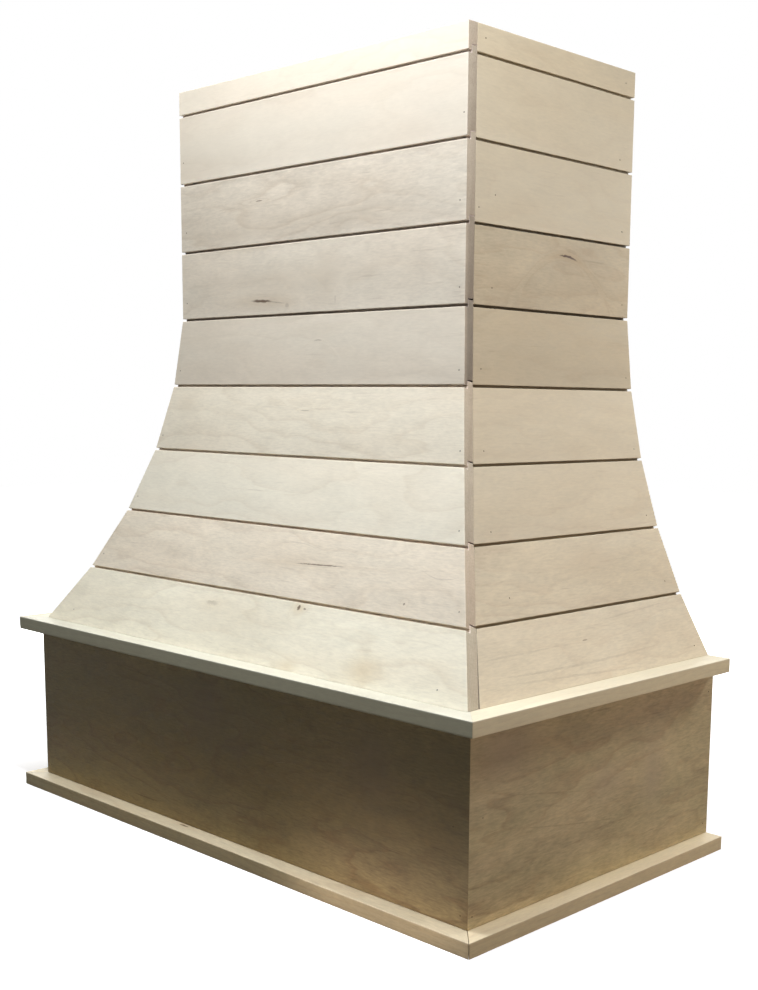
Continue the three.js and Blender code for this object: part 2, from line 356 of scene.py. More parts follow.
@dataclass(frozen=True)
class Stick:
    """A length of wood: an outline carried along a face between two cuts.

    to_face turns the section's own coordinates into distances out of the face and heights.
    ends_exposed tells which arrises at the cuts are sanded and lit lighter as a painted highlight,
    and plain_back that the back has the tone of the face and not the darker tone of the laps, which
    is partly painted shade.
    """

    name: str
    outline: Outline
    plane: FacePlane
    to_face: Callable[[Array, Array], tuple[Array, Array]]
    first_cut: CutAt
    last_cut: CutAt
    relief: Relief
    look: Look
    offset: Rgb
    end_ease: float = 0.00035
    spacing: float = 0.018
    fewest_spans: int = 3
    ends_exposed: tuple[bool, bool] = (True, True)
    plain_back: bool = False

    def stations(self) -> tuple[Array, Array, Array]:
        """Where the section is repeated along the piece.

        The eased ends follow a quarter circle of radius r: at the angle t the ring lies
        r (1 - cos t) in from the cut, and r (1 - sin t) inside the outline. Between them the
        rings are spread evenly, with close ones at each nail hole.

        Returns:
            The distance from the first cut that doesn't scale, the share of the rest of the
            length, and the inset, for each ring.
        """
        ease = self.end_ease
        angle = np.linspace(0, math.pi / 2, CHORDS + 1)
        into, inset = ease * (1 - np.cos(angle)), ease * (1 - np.sin(angle))
        first, last = self.cuts(np.array([0.0]), np.array([0.0]))
        length = float(last[0] - first[0]) - 2 * ease
        spans = max(self.fewest_spans, round(length / self.spacing))
        even = np.linspace(0, 1, spans + 1)[1:-1]
        shares = [even, np.array([SUPPORT, length - SUPPORT]) / length]
        for hole in self.relief.holes:
            first, last = self.cuts(np.array([hole.across]), np.array([0.0]))
            span = float(last[0] - first[0]) - 2 * ease
            shares.append((hole.along + FINE - float(first[0]) - ease) / span)
        share = merged(shares)
        share = share[(share > 0) & (share < 1)]
        near = np.concatenate([into, np.full(len(share), ease), 2 * ease - into[::-1]])
        inset_all = np.concatenate([inset, np.zeros(len(share)), inset[::-1]])
        ends = np.zeros(CHORDS + 1)
        return near, np.concatenate([ends, share, ends + 1]), inset_all

    def cuts(self, across: Array, behind: Array) -> tuple[Array, Array]:
        """The two cuts' places along the face at points of the section."""
        out, height = self.to_face(across, behind)
        return self.first_cut(out, height), self.last_cut(out, height)

    def normals(self) -> Array:
        """The outward normals of the outline: its chords between neighbours, turned square."""
        points = self.outline.points
        chord = np.roll(points, -1, axis=0) - np.roll(points, 1, axis=0)
        chord /= np.linalg.norm(chord, axis=1, keepdims=True)
        x, y = points[:, 0], points[:, 1]
        area = (x * np.roll(y, -1) - np.roll(x, -1) * y).sum()
        return np.stack([chord[:, 1], -chord[:, 0]], axis=-1) * np.sign(area)

    def build(self, materials: Sequence[bpy.types.Material]) -> bpy.types.Object:
        """Make the piece: the rings of points, the attributes of the wood, and the mesh.

        Args:
            materials: The finish of the faces, and the finish of the sawn ends.

        Returns:
            The new object, with its place in its mesh.
        """
        near, share, inset = self.stations()
        points, normals = self.outline.points, self.normals()
        across = points[None, :, 0] - inset[:, None] * normals[None, :, 0]
        behind = points[None, :, 1] - inset[:, None] * normals[None, :, 1]
        first, last = self.cuts(across, behind)
        along = first + near[:, None] + share[:, None] * (last - first - 2 * self.end_ease)
        depth, hole = self.relief.depth(along, across)
        reach = np.minimum(along - first, last - along)
        skin = self.outline.skin[None, :]
        fade = skin * np.clip(reach / RELIEF_FADE, 0, 1)
        rings = self.plane.place(*self.to_face(across, behind + depth * fade), along)
        # Closeness to an exposed arris, which is lighter: partly from sanding, partly as a painted
        # highlight.
        gap = np.linalg.norm(points[:, None] - self.outline.arrises[None], axis=2)
        gap = gap.min(axis=1, initial=1.0)
        worn = np.clip(1 - gap[None, :] / WEAR_AND_HIGHLIGHT_REACH, 0, 1) * np.ones((len(near), 1))
        for exposed, distance in zip(self.ends_exposed, (along - first, last - along)):
            if exposed:
                worn = np.maximum(worn, np.clip(1 - distance / WEAR_AND_HIGHLIGHT_REACH, 0, 1))
        grain = np.stack([along, across, behind], axis=-1) + np.array(self.offset)
        # Faces behind the show face are darker, partly in their own machined tone and partly as
        # painted shade in the laps and on the mouldings' fronts.
        milled_and_shade = np.clip((behind - MILLED_SHADE_FROM) / MILLED_SHADE_OVER, 0, 1) * np.ones_like(along)
        if self.plain_back:
            to_back = points[:, 1].max() - behind[1:-1]
            milled_and_shade[1:-1] *= np.clip(to_back / MILLED_SHADE_OVER, 0, 1)
        tint = self.look.tint * (1 - (1 - self.look.groove) * milled_and_shade)[..., None]
        attributes = {"grain": grain, "tint": tint, "ends": np.full_like(along, self.look.ends),
                      "worn": worn, "hole": hole * skin,
                      "stain": self.look.stained(along, across) * skin,
                      "milled_and_shade": milled_and_shade, "figured": np.full_like(along, self.look.figured)}
        return solid_from_rings(self.name, rings, attributes, materials)


def solid_from_rings(name: str, rings: Array, attributes: Mapping[str, Array],
                     materials: Sequence[bpy.types.Material]) -> bpy.types.Object:
    """Join rings of points into one closed solid, with the ends capped.

    Its signed volume is the sum of the triple products of its triangles over six. Where that is
    negative, every face is turned round, so that the faces point outwards.

    Args:
        name: The piece's name.
        rings: The points, by ring and by place round the ring.
        attributes: Values for each point, by name.
        materials: The finish of the faces, and the finish of the two ends.

    Returns:
        The new object.
    """
    count, around = rings.shape[:2]
    points = rings.reshape(-1, 3)
    index = np.arange(count * around).reshape(count, around)
    ahead = np.roll(index, -1, axis=1)
    quads = np.stack([index[:-1], ahead[:-1], ahead[1:], index[1:]], axis=-1).reshape(-1, 4)
    ends = np.stack([index[0][::-1], index[-1]])
    fans = [np.stack([np.full(around - 2, end[0]), end[1:-1], end[2:]], axis=-1) for end in ends]
    triangles = np.concatenate([quads[:, [0, 1, 2]], quads[:, [0, 2, 3]], *fans])
    a, b, c = (points[triangles[:, k]] for k in range(3))
    if (a * np.cross(b, c)).sum() < 0:
        quads, ends = quads[:, ::-1], ends[:, ::-1]
    mesh = bpy.data.meshes.new(name)
    mesh.from_pydata(points.tolist(), [], quads.tolist() + ends.tolist())
    for title, values in attributes.items():
        kind, slot = ("FLOAT_VECTOR", "vector") if values.ndim == 3 else ("FLOAT", "value")
        layer = mesh.attributes.new(title, kind, "POINT")
        layer.data.foreach_set(slot, np.ascontiguousarray(values, np.float32).ravel())
    for material in materials:
        mesh.materials.append(material)
    which = np.zeros(len(mesh.polygons), np.int32)
    which[-2:] = len(materials) - 1
    mesh.polygons.foreach_set("material_index", which)
    mesh.polygons.foreach_set("use_smooth", np.ones(len(which), bool))
    mesh.set_sharp_from_angle(angle=SHARP)
    mesh.update()
    piece = bpy.data.objects.new(name, mesh)
    bpy.context.scene.collection.objects.link(piece)
    return piece


def install(piece: bpy.types.Object, node: str) -> None:
    """Put a finished piece in the place of a node and report it.

    Args:
        piece: The finished piece.
        node: The node that it stands for.
    """
    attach(piece, "root")
    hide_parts(node)
    log.info("%s: %d faces", piece.name, len(piece.data.polygons))


# --- Node sheets ------------------------------------------------------------------------------


class WoodNoise(Enum):
    """The noises in wood: cells to the metre along, across and into it, detail, roughness, bend."""

    SLOW = ((4.2, 14.0, 14.0), 3.0, 0.42, 0.0)
    WAVER = ((16.0, 90.0, 90.0), 3.0, 0.5, 0.0)
    LINED_AREAS = ((2.6, 11.0, 11.0), 1.0, 0.5, 0.0)
    FIBRE = ((85.0, 420.0, 420.0), 3.0, 0.65, 0.0)
    CLOUD = ((6.5, 18.0, 18.0), 3.0, 0.5, 0.7)
    MOTTLE = ((22.0, 52.0, 52.0), 2.0, 0.5, 1.3)
    HUE = ((4.0, 13.0, 13.0), 2.0, 0.5, 0.0)
    STREAKS = ((16.0, 260.0, 260.0), 2.0, 0.5, 0.4)
    FLECKS = ((70.0, 760.0, 760.0), 1.0, 0.5, 0.0)
    RAGGED = ((150.0, 420.0, 420.0), 3.0, 0.6, 0.0)
    SANDED = ((38.0, 60.0, 60.0), 3.0, 0.5, 0.0)
    PORES = ((900.0, 900.0, 900.0), 1.0, 0.5, 0.0)


class Sheet:
    """A node tree with short ways to add nodes and feed their inputs."""

    def __init__(self, tree: bpy.types.NodeTree) -> None:
        """Keep the tree that the nodes go into."""
        self.tree = tree

    def node(self, kind: str, feeds: Mapping[Any, Any] | None = None, **settings: Any
             ) -> bpy.types.Node:
        """Add a node.

        Args:
            kind: The node's type.
            feeds: What goes into its inputs, a socket or a value, by the input's name or number.
            **settings: The node's own settings.

        Returns:
            The new node.
        """
        new = self.tree.nodes.new(kind)
        for name, value in settings.items():
            setattr(new, name, value)
        self.feed(new, feeds or {})
        return new

    def feed(self, node: bpy.types.Node, feeds: Mapping[Any, Any]) -> None:
        """Link each socket, and set each value, that goes into an input of a node.

        Args:
            node: The node.
            feeds: What goes into its inputs, by the input's name or number.
        """
        for key, value in feeds.items():
            if isinstance(value, bpy.types.NodeSocket):
                self.tree.links.new(value, node.inputs[key])
            else:
                node.inputs[key].default_value = value

    def math(self, operation: str, *terms: Any, clamp: bool = False) -> bpy.types.NodeSocket:
        """The result of a Math node."""
        return self.node("ShaderNodeMath", dict(enumerate(terms)), operation=operation,
                         use_clamp=clamp).outputs[0]

    def vector(self, operation: str, *terms: Any) -> bpy.types.NodeSocket:
        """The vector that comes out of a Vector Math node."""
        return self.node("ShaderNodeVectorMath", dict(enumerate(terms)),
                         operation=operation).outputs[0]

    def scale(self, colour: Any, factor: Any) -> bpy.types.NodeSocket:
        """A colour times a factor."""
        return self.node("ShaderNodeVectorMath", {0: colour, "Scale": factor},
                         operation="SCALE").outputs[0]

    def ramp(self, value: Any, low: float, high: float, to_low: float = 0.0,
             to_high: float = 1.0) -> bpy.types.NodeSocket:
        """A smooth step of a value from one range to another."""
        feeds = {"Value": value, "From Min": low, "From Max": high, "To Min": to_low,
                 "To Max": to_high}
        return self.node("ShaderNodeMapRange", feeds, interpolation_type="SMOOTHSTEP").outputs[0]

    def blend(self, factor: Any, first: Any, second: Any) -> bpy.types.NodeSocket:
        """The colour between two colours, by a factor."""
        return self.node("ShaderNodeMix", {0: factor, 6: first, 7: second},
                         data_type="RGBA").outputs[2]

    def noise(self, grain: Any, kind: WoodNoise) -> bpy.types.NodeSocket:
        """One of the wood's noises, in the wood's own coordinates."""
        cells, detail, rough, bend = kind.value
        feeds = {"Vector": self.vector("MULTIPLY", grain, cells), "Scale": 1.0,
                 "Detail": detail, "Roughness": rough, "Distortion": bend}
        return self.node("ShaderNodeTexNoise", feeds).outputs[0]

    def attribute(self, name: str, output: str = "Fac") -> bpy.types.NodeSocket:
        """What a piece's points hold under a name, as a number (Fac) or as a Vector."""
        return self.node("ShaderNodeAttribute", attribute_name=name).outputs[output]


class Tree:
    """A shader node group with named inputs and outputs, built once and placed many times."""

    def __init__(self, name: str, inputs: Mapping[str, str], outputs: Mapping[str, str]) -> None:
        """Make an empty group.

        Args:
            name: The group's name.
            inputs: The socket type of each input, by name.
            outputs: The socket type of each output, by name.
        """
        self.tree = bpy.data.node_groups.new(name, "ShaderNodeTree")
        for way, sockets in (("INPUT", inputs), ("OUTPUT", outputs)):
            for title, kind in sockets.items():
                self.tree.interface.new_socket(title, in_out=way, socket_type=f"NodeSocket{kind}")
        self.sheet = Sheet(self.tree)
        self.given = self.sheet.node("NodeGroupInput").outputs
        self.result = self.sheet.node("NodeGroupOutput")

    def put(self, name: str, socket: bpy.types.NodeSocket) -> None:
        """Send a socket to an output of the group."""
        self.tree.links.new(socket, self.result.inputs[name])

    def place(self, sheet: Sheet, feeds: Mapping[str, Any]) -> Any:
        """Place the group in a sheet and feed its inputs.

        Args:
            sheet: The sheet that gets the group.
            feeds: What goes into its inputs, by name.

        Returns:
            The outputs of the placed group.
        """
        return sheet.node("ShaderNodeGroup", feeds, node_tree=self.tree).outputs


# --- Finishes ---------------------------------------------------------------------------------


def paint(red: float, green: float, blue: float) -> Paint:
    """A display colour of 0 to 255 as the linear colour that a shader takes.

    Below 0.04045 the share is divided by 12.92. Above it, the share plus 0.055, over 1.055, is
    raised to the power of 2.4.
    """
    share = np.array([red, green, blue]) / 255
    linear = np.where(share <= 0.04045, share / 12.92, ((share + 0.055) / 1.055) ** 2.4)
    return (*(float(value) for value in linear), 1.0)


@dataclass(frozen=True)
class WoodFinish:
    """Bare sanded wood: its colours, and the strength and scale of each mark in it."""

    name: str
    body: Paint
    other: Paint
    line: Paint
    streak: Paint
    line_spacing: float = 0.0085
    swirl: float = 0.05
    line_share: float = 0.5
    cloud_share: float = 0.24
    mottle_share: float = 0.2
    fibre_share: float = 0.36
    streak_share: float = 0.25
    fleck_share: float = 0.2
    # What the faces behind the show face are multiplied by: partly their own machined tone, partly
    # painted shade.
    milled_and_shade: Rgb = (0.93, 0.87, 0.93)
    roughness: float = 0.62
    specular: float = 0.3
    bump: float = 0.35


@dataclass(frozen=True)
class GrainShape:
    """The shapes that the marks of all woods share.

    Each pair of numbers is the range of a noise or a distance over which a mark sets in.
    """

    slant: float = 0.2
    waver: float = 0.0022
    line_power: float = 4.0
    line_end: tuple[float, float] = (0.86, 1.0)
    lined: tuple[float, float] = (0.36, 0.62)
    lined_least: float = 0.35
    hue: tuple[float, float] = (0.3, 0.7)
    streaks: tuple[float, float] = (0.62, 0.82)
    flecks: tuple[float, float] = (0.64, 0.8)
    fibre: tuple[float, float] = (0.2, 0.8)
    pores: tuple[float, float] = (0.58, 0.75)
    sanded: tuple[float, float] = (0.25, 0.7)
    sanded_least: float = 0.25
    sanded_power: float = 1.6
    ragged: float = 2.0
    core: tuple[float, float] = (0.2, 1.15)
    halo_reach: float = 9.0
    push_reach: float = 14.0
    band: tuple[float, float] = (0.47, 0.53)
    glue: tuple[float, float] = (0.4, 0.49)


@dataclass(frozen=True)
class GrainStrength:
    """How strongly those marks show in the colour, the roughness and the relief."""

    smoother: float = 0.07
    rougher: float = 0.09
    lowered: float = 0.15
    line_height: float = -0.35
    fleck_height: float = -0.6
    relief: float = 0.00016
    stain_patches: tuple[float, float] = (0.75, 1.25)
    # How much lighter arrises are, and how much of that shows: partly sanding, partly a painted
    # highlight.
    wear_and_highlight_tone: float = 1.18
    wear_and_highlight_share: float = 0.55
    # How much of the painted shade in nail holes shows.
    hole_shade_share: float = 0.9
    knot_push: float = 0.02
    knot_depth: float = 0.05
    pore_share: float = 0.3
    ply_pair: float = 0.0029
    cross_ply: float = 0.45
    band_share: float = 0.6
    glue_share: float = 0.5


@dataclass(frozen=True)
class Knot:
    """A knot or a bark mark on one board, by its place along it and across it."""

    board: str
    along: float
    across: float
    half_length: float
    half_height: float
    dark: float = 0.8
    slope: float = 0.0
    bow: float = 0.0
    halo: float = 0.24


class GrainAxis(Enum):
    """The direction that the grain of a frame piece runs in, as an order of coordinates."""

    X = (0, 1, 2)
    Y = (1, 0, 2)
    Z = (2, 0, 1)


class PlyAxis(Enum):
    """The direction that the layers of a built-up frame piece are stacked in."""

    NONE = -1
    X = 0
    Y = 1


# The colour of the painted shade in nail holes.
HOLE_SHADE = paint(52, 40, 30)
KNOT_CORE = paint(62, 34, 14)
KNOT_HALO = paint(188, 160, 116)
STAIN = paint(168, 150, 124)


class WoodShop:
    """Builds the shared effects once, and every wood material out of them."""

    def __init__(self, shape: GrainShape, shows: GrainStrength) -> None:
        """Build the shared groups.

        Args:
            shape: The shapes of the marks.
            shows: Their strengths.
        """
        self.shape, self.shows = shape, shows
        self.figure = self.make_figure()
        self.knot = self.make_knot()
        self.wear = self.make_wear_and_highlight()
        self.plies = self.make_plies()

    def make_figure(self) -> Tree:
        """The marks of plain-sawn maple.

        A field is the depth, plus the distance across times the slant, plus a slow noise times
        the swirl, plus a fine noise times the waver, plus the push of the knots. Its remainder
        over the line spacing runs from 0 to 1 through each growth ring. A line is a power of
        that, which ends just before 1, and some areas have fainter lines. The swing is a sum of
        three noises about zero, from the fibres to the broad clouds, each times its share. The
        hue, the streaks and the flecks are noises stretched along the grain, with a threshold.

        Returns:
            The group.
        """
        ins = {name: "Float" for name in ("Line Spacing", "Swirl", "Push", "Cloud Share",
                                          "Mottle Share", "Fibre Share")}
        outs = {name: "Float" for name in ("Swing", "Lines", "Fibre", "Hue", "Streaks", "Flecks")}
        group = Tree("board_figure", {"Grain": "Vector", **ins}, outs)
        sheet, given, shape = group.sheet, group.given, self.shape
        grain = given["Grain"]
        parts = sheet.node("ShaderNodeSeparateXYZ", {0: grain}).outputs
        field = sheet.math("MULTIPLY_ADD", parts[1], shape.slant, parts[2])
        for kind, share in ((WoodNoise.SLOW, given["Swirl"]), (WoodNoise.WAVER, shape.waver)):
            field = sheet.math("MULTIPLY_ADD", sheet.noise(grain, kind), share, field)
        field = sheet.math("ADD", field, given["Push"])
        phase = sheet.math("FRACT", sheet.math("DIVIDE", field, given["Line Spacing"]))
        lines = sheet.math("MULTIPLY", sheet.math("POWER", phase, shape.line_power),
                           sheet.ramp(phase, *shape.line_end, 1.0, 0.0))
        presence = sheet.ramp(sheet.noise(grain, WoodNoise.LINED_AREAS), *shape.lined,
                              shape.lined_least)
        fibre = sheet.noise(grain, WoodNoise.FIBRE)
        swing = sheet.math("MULTIPLY", sheet.math("SUBTRACT", fibre, 0.5), given["Fibre Share"])
        for kind, share in ((WoodNoise.CLOUD, "Cloud Share"), (WoodNoise.MOTTLE, "Mottle Share")):
            patch = sheet.math("SUBTRACT", sheet.noise(grain, kind), 0.5)
            swing = sheet.math("MULTIPLY_ADD", patch, given[share], swing)
        group.put("Swing", swing)
        group.put("Lines", sheet.math("MULTIPLY", lines, presence))
        group.put("Fibre", fibre)
        for name, kind, step in (("Hue", WoodNoise.HUE, shape.hue),
                                 ("Streaks", WoodNoise.STREAKS, shape.streaks),
                                 ("Flecks", WoodNoise.FLECKS, shape.flecks)):
            group.put(name, sheet.ramp(sheet.noise(grain, kind), *step))
        return group

    def make_knot(self) -> Tree:
        """A knot: its core, its halo, and how it pushes the growth rings aside.

        With x and y the distances from the centre in half lengths and half heights, y gains the
        slope times x, the bow times x squared, and a ragged noise. q is x squared plus y
        squared. The core fades out as q nears 1, and the halo and the push are e to the power of
        minus q over the reach of each.

        Returns:
            The group.
        """
        group = Tree("knot_mark", {"Grain": "Vector", "Centre": "Vector", "Half Size": "Vector",
                                   "Slope": "Float", "Bow": "Float"},
                     {"Core": "Float", "Halo": "Float", "Push": "Float"})
        sheet, given, shape = group.sheet, group.given, self.shape
        away = sheet.vector("SUBTRACT", given["Grain"], given["Centre"])
        ragged = sheet.math("SUBTRACT", sheet.noise(given["Grain"], WoodNoise.RAGGED), 0.5)
        parts = sheet.node("ShaderNodeSeparateXYZ",
                           {0: sheet.vector("DIVIDE", away, given["Half Size"])}).outputs
        rise = sheet.math("MULTIPLY_ADD", ragged, shape.ragged, parts[1])
        rise = sheet.math("MULTIPLY_ADD", parts[0], given["Slope"], rise)
        square = sheet.math("MULTIPLY", parts[0], parts[0])
        rise = sheet.math("MULTIPLY_ADD", square, given["Bow"], rise)
        q = sheet.math("MULTIPLY_ADD", rise, rise, square)
        group.put("Core", sheet.ramp(q, *shape.core, 1.0, 0.0))
        for name, reach in (("Halo", shape.halo_reach), ("Push", shape.push_reach)):
            group.put(name, sheet.math("EXPONENT", sheet.math("DIVIDE", q, -reach)))
        return group

    def make_wear_and_highlight(self) -> Tree:
        """Where sandpaper and hands have broken an arris, lit lighter as a painted highlight: a
        power of its closeness, in patches.
        """
        group = Tree("sanded_arris", {"Grain": "Vector", "Worn": "Float"}, {"Wear": "Float"})
        sheet, given, shape = group.sheet, group.given, self.shape
        patchy = sheet.ramp(sheet.noise(given["Grain"], WoodNoise.SANDED), *shape.sanded,
                            shape.sanded_least)
        close = sheet.math("POWER", given["Worn"], shape.sanded_power)
        group.put("Wear", sheet.math("MULTIPLY", close, patchy, clamp=True))
        return group

    def make_plies(self) -> Tree:
        """Layers of plywood: every second one is cross-grained, with a thin dark glue line.

        The place in a pair of layers is the remainder of the layer coordinate over the pair's
        thickness. The band steps at its half, and the glue shows near 0 and near a half.

        Returns:
            The group.
        """
        group = Tree("ply_layers", {"Layer": "Float", "Pair": "Float"},
                     {"Band": "Float", "Glue": "Float"})
        sheet, given = group.sheet, group.given
        place = sheet.math("FRACT", sheet.math("DIVIDE", given["Layer"], given["Pair"]))
        group.put("Band", sheet.ramp(place, *self.shape.band))
        half = sheet.math("FRACT", sheet.math("MULTIPLY", place, 2.0))
        near = sheet.math("ABSOLUTE", sheet.math("SUBTRACT", half, 0.5))
        group.put("Glue", sheet.ramp(near, *self.shape.glue))
        return group

    def start(self, name: str) -> tuple[bpy.types.Material, Sheet, bpy.types.Node]:
        """Make a material with a Principled shader and nothing else.

        Args:
            name: The material's name.

        Returns:
            The material, its sheet and its shader.
        """
        material, sheet = bare_material(name)
        shader = sheet.node("ShaderNodeBsdfPrincipled")
        sheet.node("ShaderNodeOutputMaterial", {"Surface": shader.outputs[0]})
        return material, sheet, shader

    def tone(self, sheet: Sheet, finish: WoodFinish, grain: Any, push: Any, strength: Any = 1.0
             ) -> tuple[bpy.types.NodeSocket, Any]:
        """The colour of sanded wood, and the marks that it is made of.

        Args:
            sheet: The sheet of the material.
            finish: The wood's colours and strengths.
            grain: The wood's own coordinates.
            push: How far knots push the growth rings aside.
            strength: How strongly this piece is figured.

        Returns:
            The colour and the outputs of the figure.
        """
        marks = self.figure.place(sheet, {
            "Grain": grain, "Line Spacing": finish.line_spacing, "Swirl": finish.swirl,
            "Push": push, "Cloud Share": finish.cloud_share, "Mottle Share": finish.mottle_share,
            "Fibre Share": finish.fibre_share})
        colour: Any = sheet.blend(marks["Hue"], finish.body, finish.other)
        for mark, share, other in (("Lines", finish.line_share, finish.line),
                                   ("Streaks", finish.streak_share, finish.streak),
                                   ("Flecks", finish.fleck_share, finish.line)):
            amount = sheet.math("MULTIPLY", sheet.math("MULTIPLY", marks[mark], share), strength)
            colour = sheet.blend(amount, colour, other)
        shade = sheet.math("MULTIPLY_ADD", marks["Swing"], strength, 1.0)
        return sheet.scale(colour, shade), marks

    def close(self, sheet: Sheet, shader: bpy.types.Node, finish: WoodFinish, colour: Any,
              marks: Any, lowered: Any) -> None:
        """Give the shader its colour, its roughness and the fine relief of the grain.

        Args:
            sheet: The sheet of the material.
            shader: The Principled shader.
            finish: The wood's finish.
            colour: The finished colour.
            marks: The outputs of the figure.
            lowered: A mask of what lies lower and rougher.
        """
        shows = self.shows
        rough = sheet.ramp(marks["Fibre"], *self.shape.fibre, finish.roughness - shows.smoother,
                           finish.roughness + shows.rougher)
        rough = sheet.math("MULTIPLY_ADD", lowered, shows.lowered, rough, clamp=True)
        height = sheet.math("MULTIPLY_ADD", marks["Lines"], shows.line_height, marks["Fibre"])
        height = sheet.math("MULTIPLY_ADD", marks["Flecks"], shows.fleck_height, height)
        bump = sheet.node("ShaderNodeBump", {"Height": height, "Strength": finish.bump,
                                             "Distance": shows.relief})
        sheet.feed(shader, {"Base Color": colour, "Roughness": rough, "Normal": bump.outputs[0],
                            "Specular IOR Level": finish.specular})

    def board_face(self, finish: WoodFinish, knots: Sequence[tuple[Knot, Rgb]]
                   ) -> bpy.types.Material:
        """The finish of show faces, with knots, nail holes, arrises and a board's tint.

        Args:
            finish: The wood's colours and strengths.
            knots: Each knot, with its centre in the wood's coordinates.

        Returns:
            The material.
        """
        material, sheet, shader = self.start(finish.name)
        grain, shows = sheet.attribute("grain", "Vector"), self.shows
        push: Any = 0.0
        seen = []
        for knot, centre in knots:
            spot = self.knot.place(sheet, {
                "Grain": grain, "Centre": centre, "Slope": knot.slope, "Bow": knot.bow,
                "Half Size": (knot.half_length, knot.half_height, shows.knot_depth)})
            push = sheet.math("MULTIPLY_ADD", spot["Push"], shows.knot_push * knot.dark, push)
            seen.append((knot, spot))
        colour, marks = self.tone(sheet, finish, grain, push, sheet.attribute("figured"))
        patches = sheet.ramp(marks["Fibre"], *self.shape.fibre, *shows.stain_patches)
        cloudy = sheet.math("MULTIPLY", sheet.attribute("stain"), patches, clamp=True)
        colour = sheet.blend(cloudy, colour, STAIN)
        for knot, spot in seen:
            for part, share, other in (("Halo", knot.halo, KNOT_HALO),
                                       ("Core", knot.dark, KNOT_CORE)):
                colour = sheet.blend(sheet.math("MULTIPLY", spot[part], share), colour, other)
        colour = sheet.vector("MULTIPLY", colour, sheet.attribute("tint", "Vector"))
        # Faces behind the show face darken: partly their own tone, partly painted shade in the laps
        # and on the mouldings' fronts.
        colour = sheet.blend(sheet.attribute("milled_and_shade"), colour,
                             sheet.vector("MULTIPLY", colour, finish.milled_and_shade))
        worn, hole = sheet.attribute("worn"), sheet.attribute("hole")
        wear = self.wear.place(sheet, {"Grain": grain, "Worn": worn})["Wear"]
        # Arrises lighten: partly sanding, partly a painted highlight.
        colour = sheet.blend(sheet.math("MULTIPLY", wear, shows.wear_and_highlight_share), colour,
                             sheet.scale(colour, shows.wear_and_highlight_tone))
        # Nail holes get painted shade.
        colour = sheet.blend(sheet.math("MULTIPLY", hole, shows.hole_shade_share), colour, HOLE_SHADE)
        self.close(sheet, shader, finish, colour, marks, hole)
        return material

    def sawn_end(self, finish: WoodFinish) -> bpy.types.Material:
        """The finish of end grain: darker, with the rings in section and open pores.

        Args:
            finish: The end grain's colours and strengths.

        Returns:
            The material.
        """
        material, sheet, shader = self.start(finish.name)
        grain = sheet.attribute("grain", "Vector")
        colour, marks = self.tone(sheet, finish, grain, 0.0)
        pores = sheet.ramp(sheet.noise(grain, WoodNoise.PORES), *self.shape.pores)
        colour = sheet.blend(sheet.math("MULTIPLY", pores, self.shows.pore_share), colour,
                             finish.streak)
        colour = sheet.vector("MULTIPLY", colour, sheet.attribute("tint", "Vector"))
        colour = sheet.scale(colour, sheet.attribute("ends"))
        self.close(sheet, shader, finish, colour, marks, pores)
        return material

    def frame_wood(self, finish: WoodFinish, axis: GrainAxis, ply: PlyAxis
                   ) -> bpy.types.Material:
        """The finish of frame pieces, in Object coordinates.

        Args:
            finish: The wood's colours and strengths.
            axis: The direction of the grain.
            ply: The direction that its layers are stacked in, if it has any.

        Returns:
            The material.
        """
        name = f"{finish.name}_{axis.name.lower()}_{ply.name.lower()}"
        if name in bpy.data.materials:
            return bpy.data.materials[name]
        material, sheet, shader = self.start(name)
        place = sheet.node("ShaderNodeTexCoord").outputs["Object"]
        parts = sheet.node("ShaderNodeSeparateXYZ", {0: place}).outputs
        grain = sheet.node("ShaderNodeCombineXYZ",
                           {k: parts[source] for k, source in enumerate(axis.value)}).outputs[0]
        colour, marks = self.tone(sheet, finish, grain, 0.0)
        if ply is not PlyAxis.NONE:
            shows = self.shows
            layers = self.plies.place(sheet, {"Layer": parts[ply.value], "Pair": shows.ply_pair})
            crossed = sheet.blend(shows.cross_ply, colour, finish.streak)
            for layer, share, other in (("Band", shows.band_share, crossed),
                                        ("Glue", shows.glue_share, finish.streak)):
                colour = sheet.blend(sheet.math("MULTIPLY", layers[layer], share), colour, other)
        self.close(sheet, shader, finish, colour, marks, marks["Streaks"])
        return material


def bare_material(name: str) -> tuple[bpy.types.Material, Sheet]:
    """A new material without nodes, and the sheet to fill it on."""
    material = bpy.data.materials.new(name)
    material.use_nodes = True
    material.node_tree.nodes.clear()
    return material, Sheet(material.node_tree)


FRONT_MAPLE = WoodFinish("maple_front", paint(218, 210, 191), paint(218, 208, 188),
                         paint(186, 170, 146), paint(158, 142, 122))
# The side boards' laps are much darker, as painted shade in their grooves.
SIDE_MAPLE = WoodFinish("maple_side", paint(199, 189, 162), paint(199, 187, 158),
                        paint(180, 162, 134), paint(150, 130, 104), mottle_share=0.17,
                        milled_and_shade=(0.5, 0.47, 0.4))
# The mouldings' fronts and undersides are yellower than their tops, as painted shade.
MOULDING_MAPLE = WoodFinish("maple_moulding", paint(213, 203, 174), paint(211, 200, 170),
                            paint(188, 168, 136), paint(158, 136, 106), swirl=0.03,
                            milled_and_shade=(0.98, 0.96, 0.84))
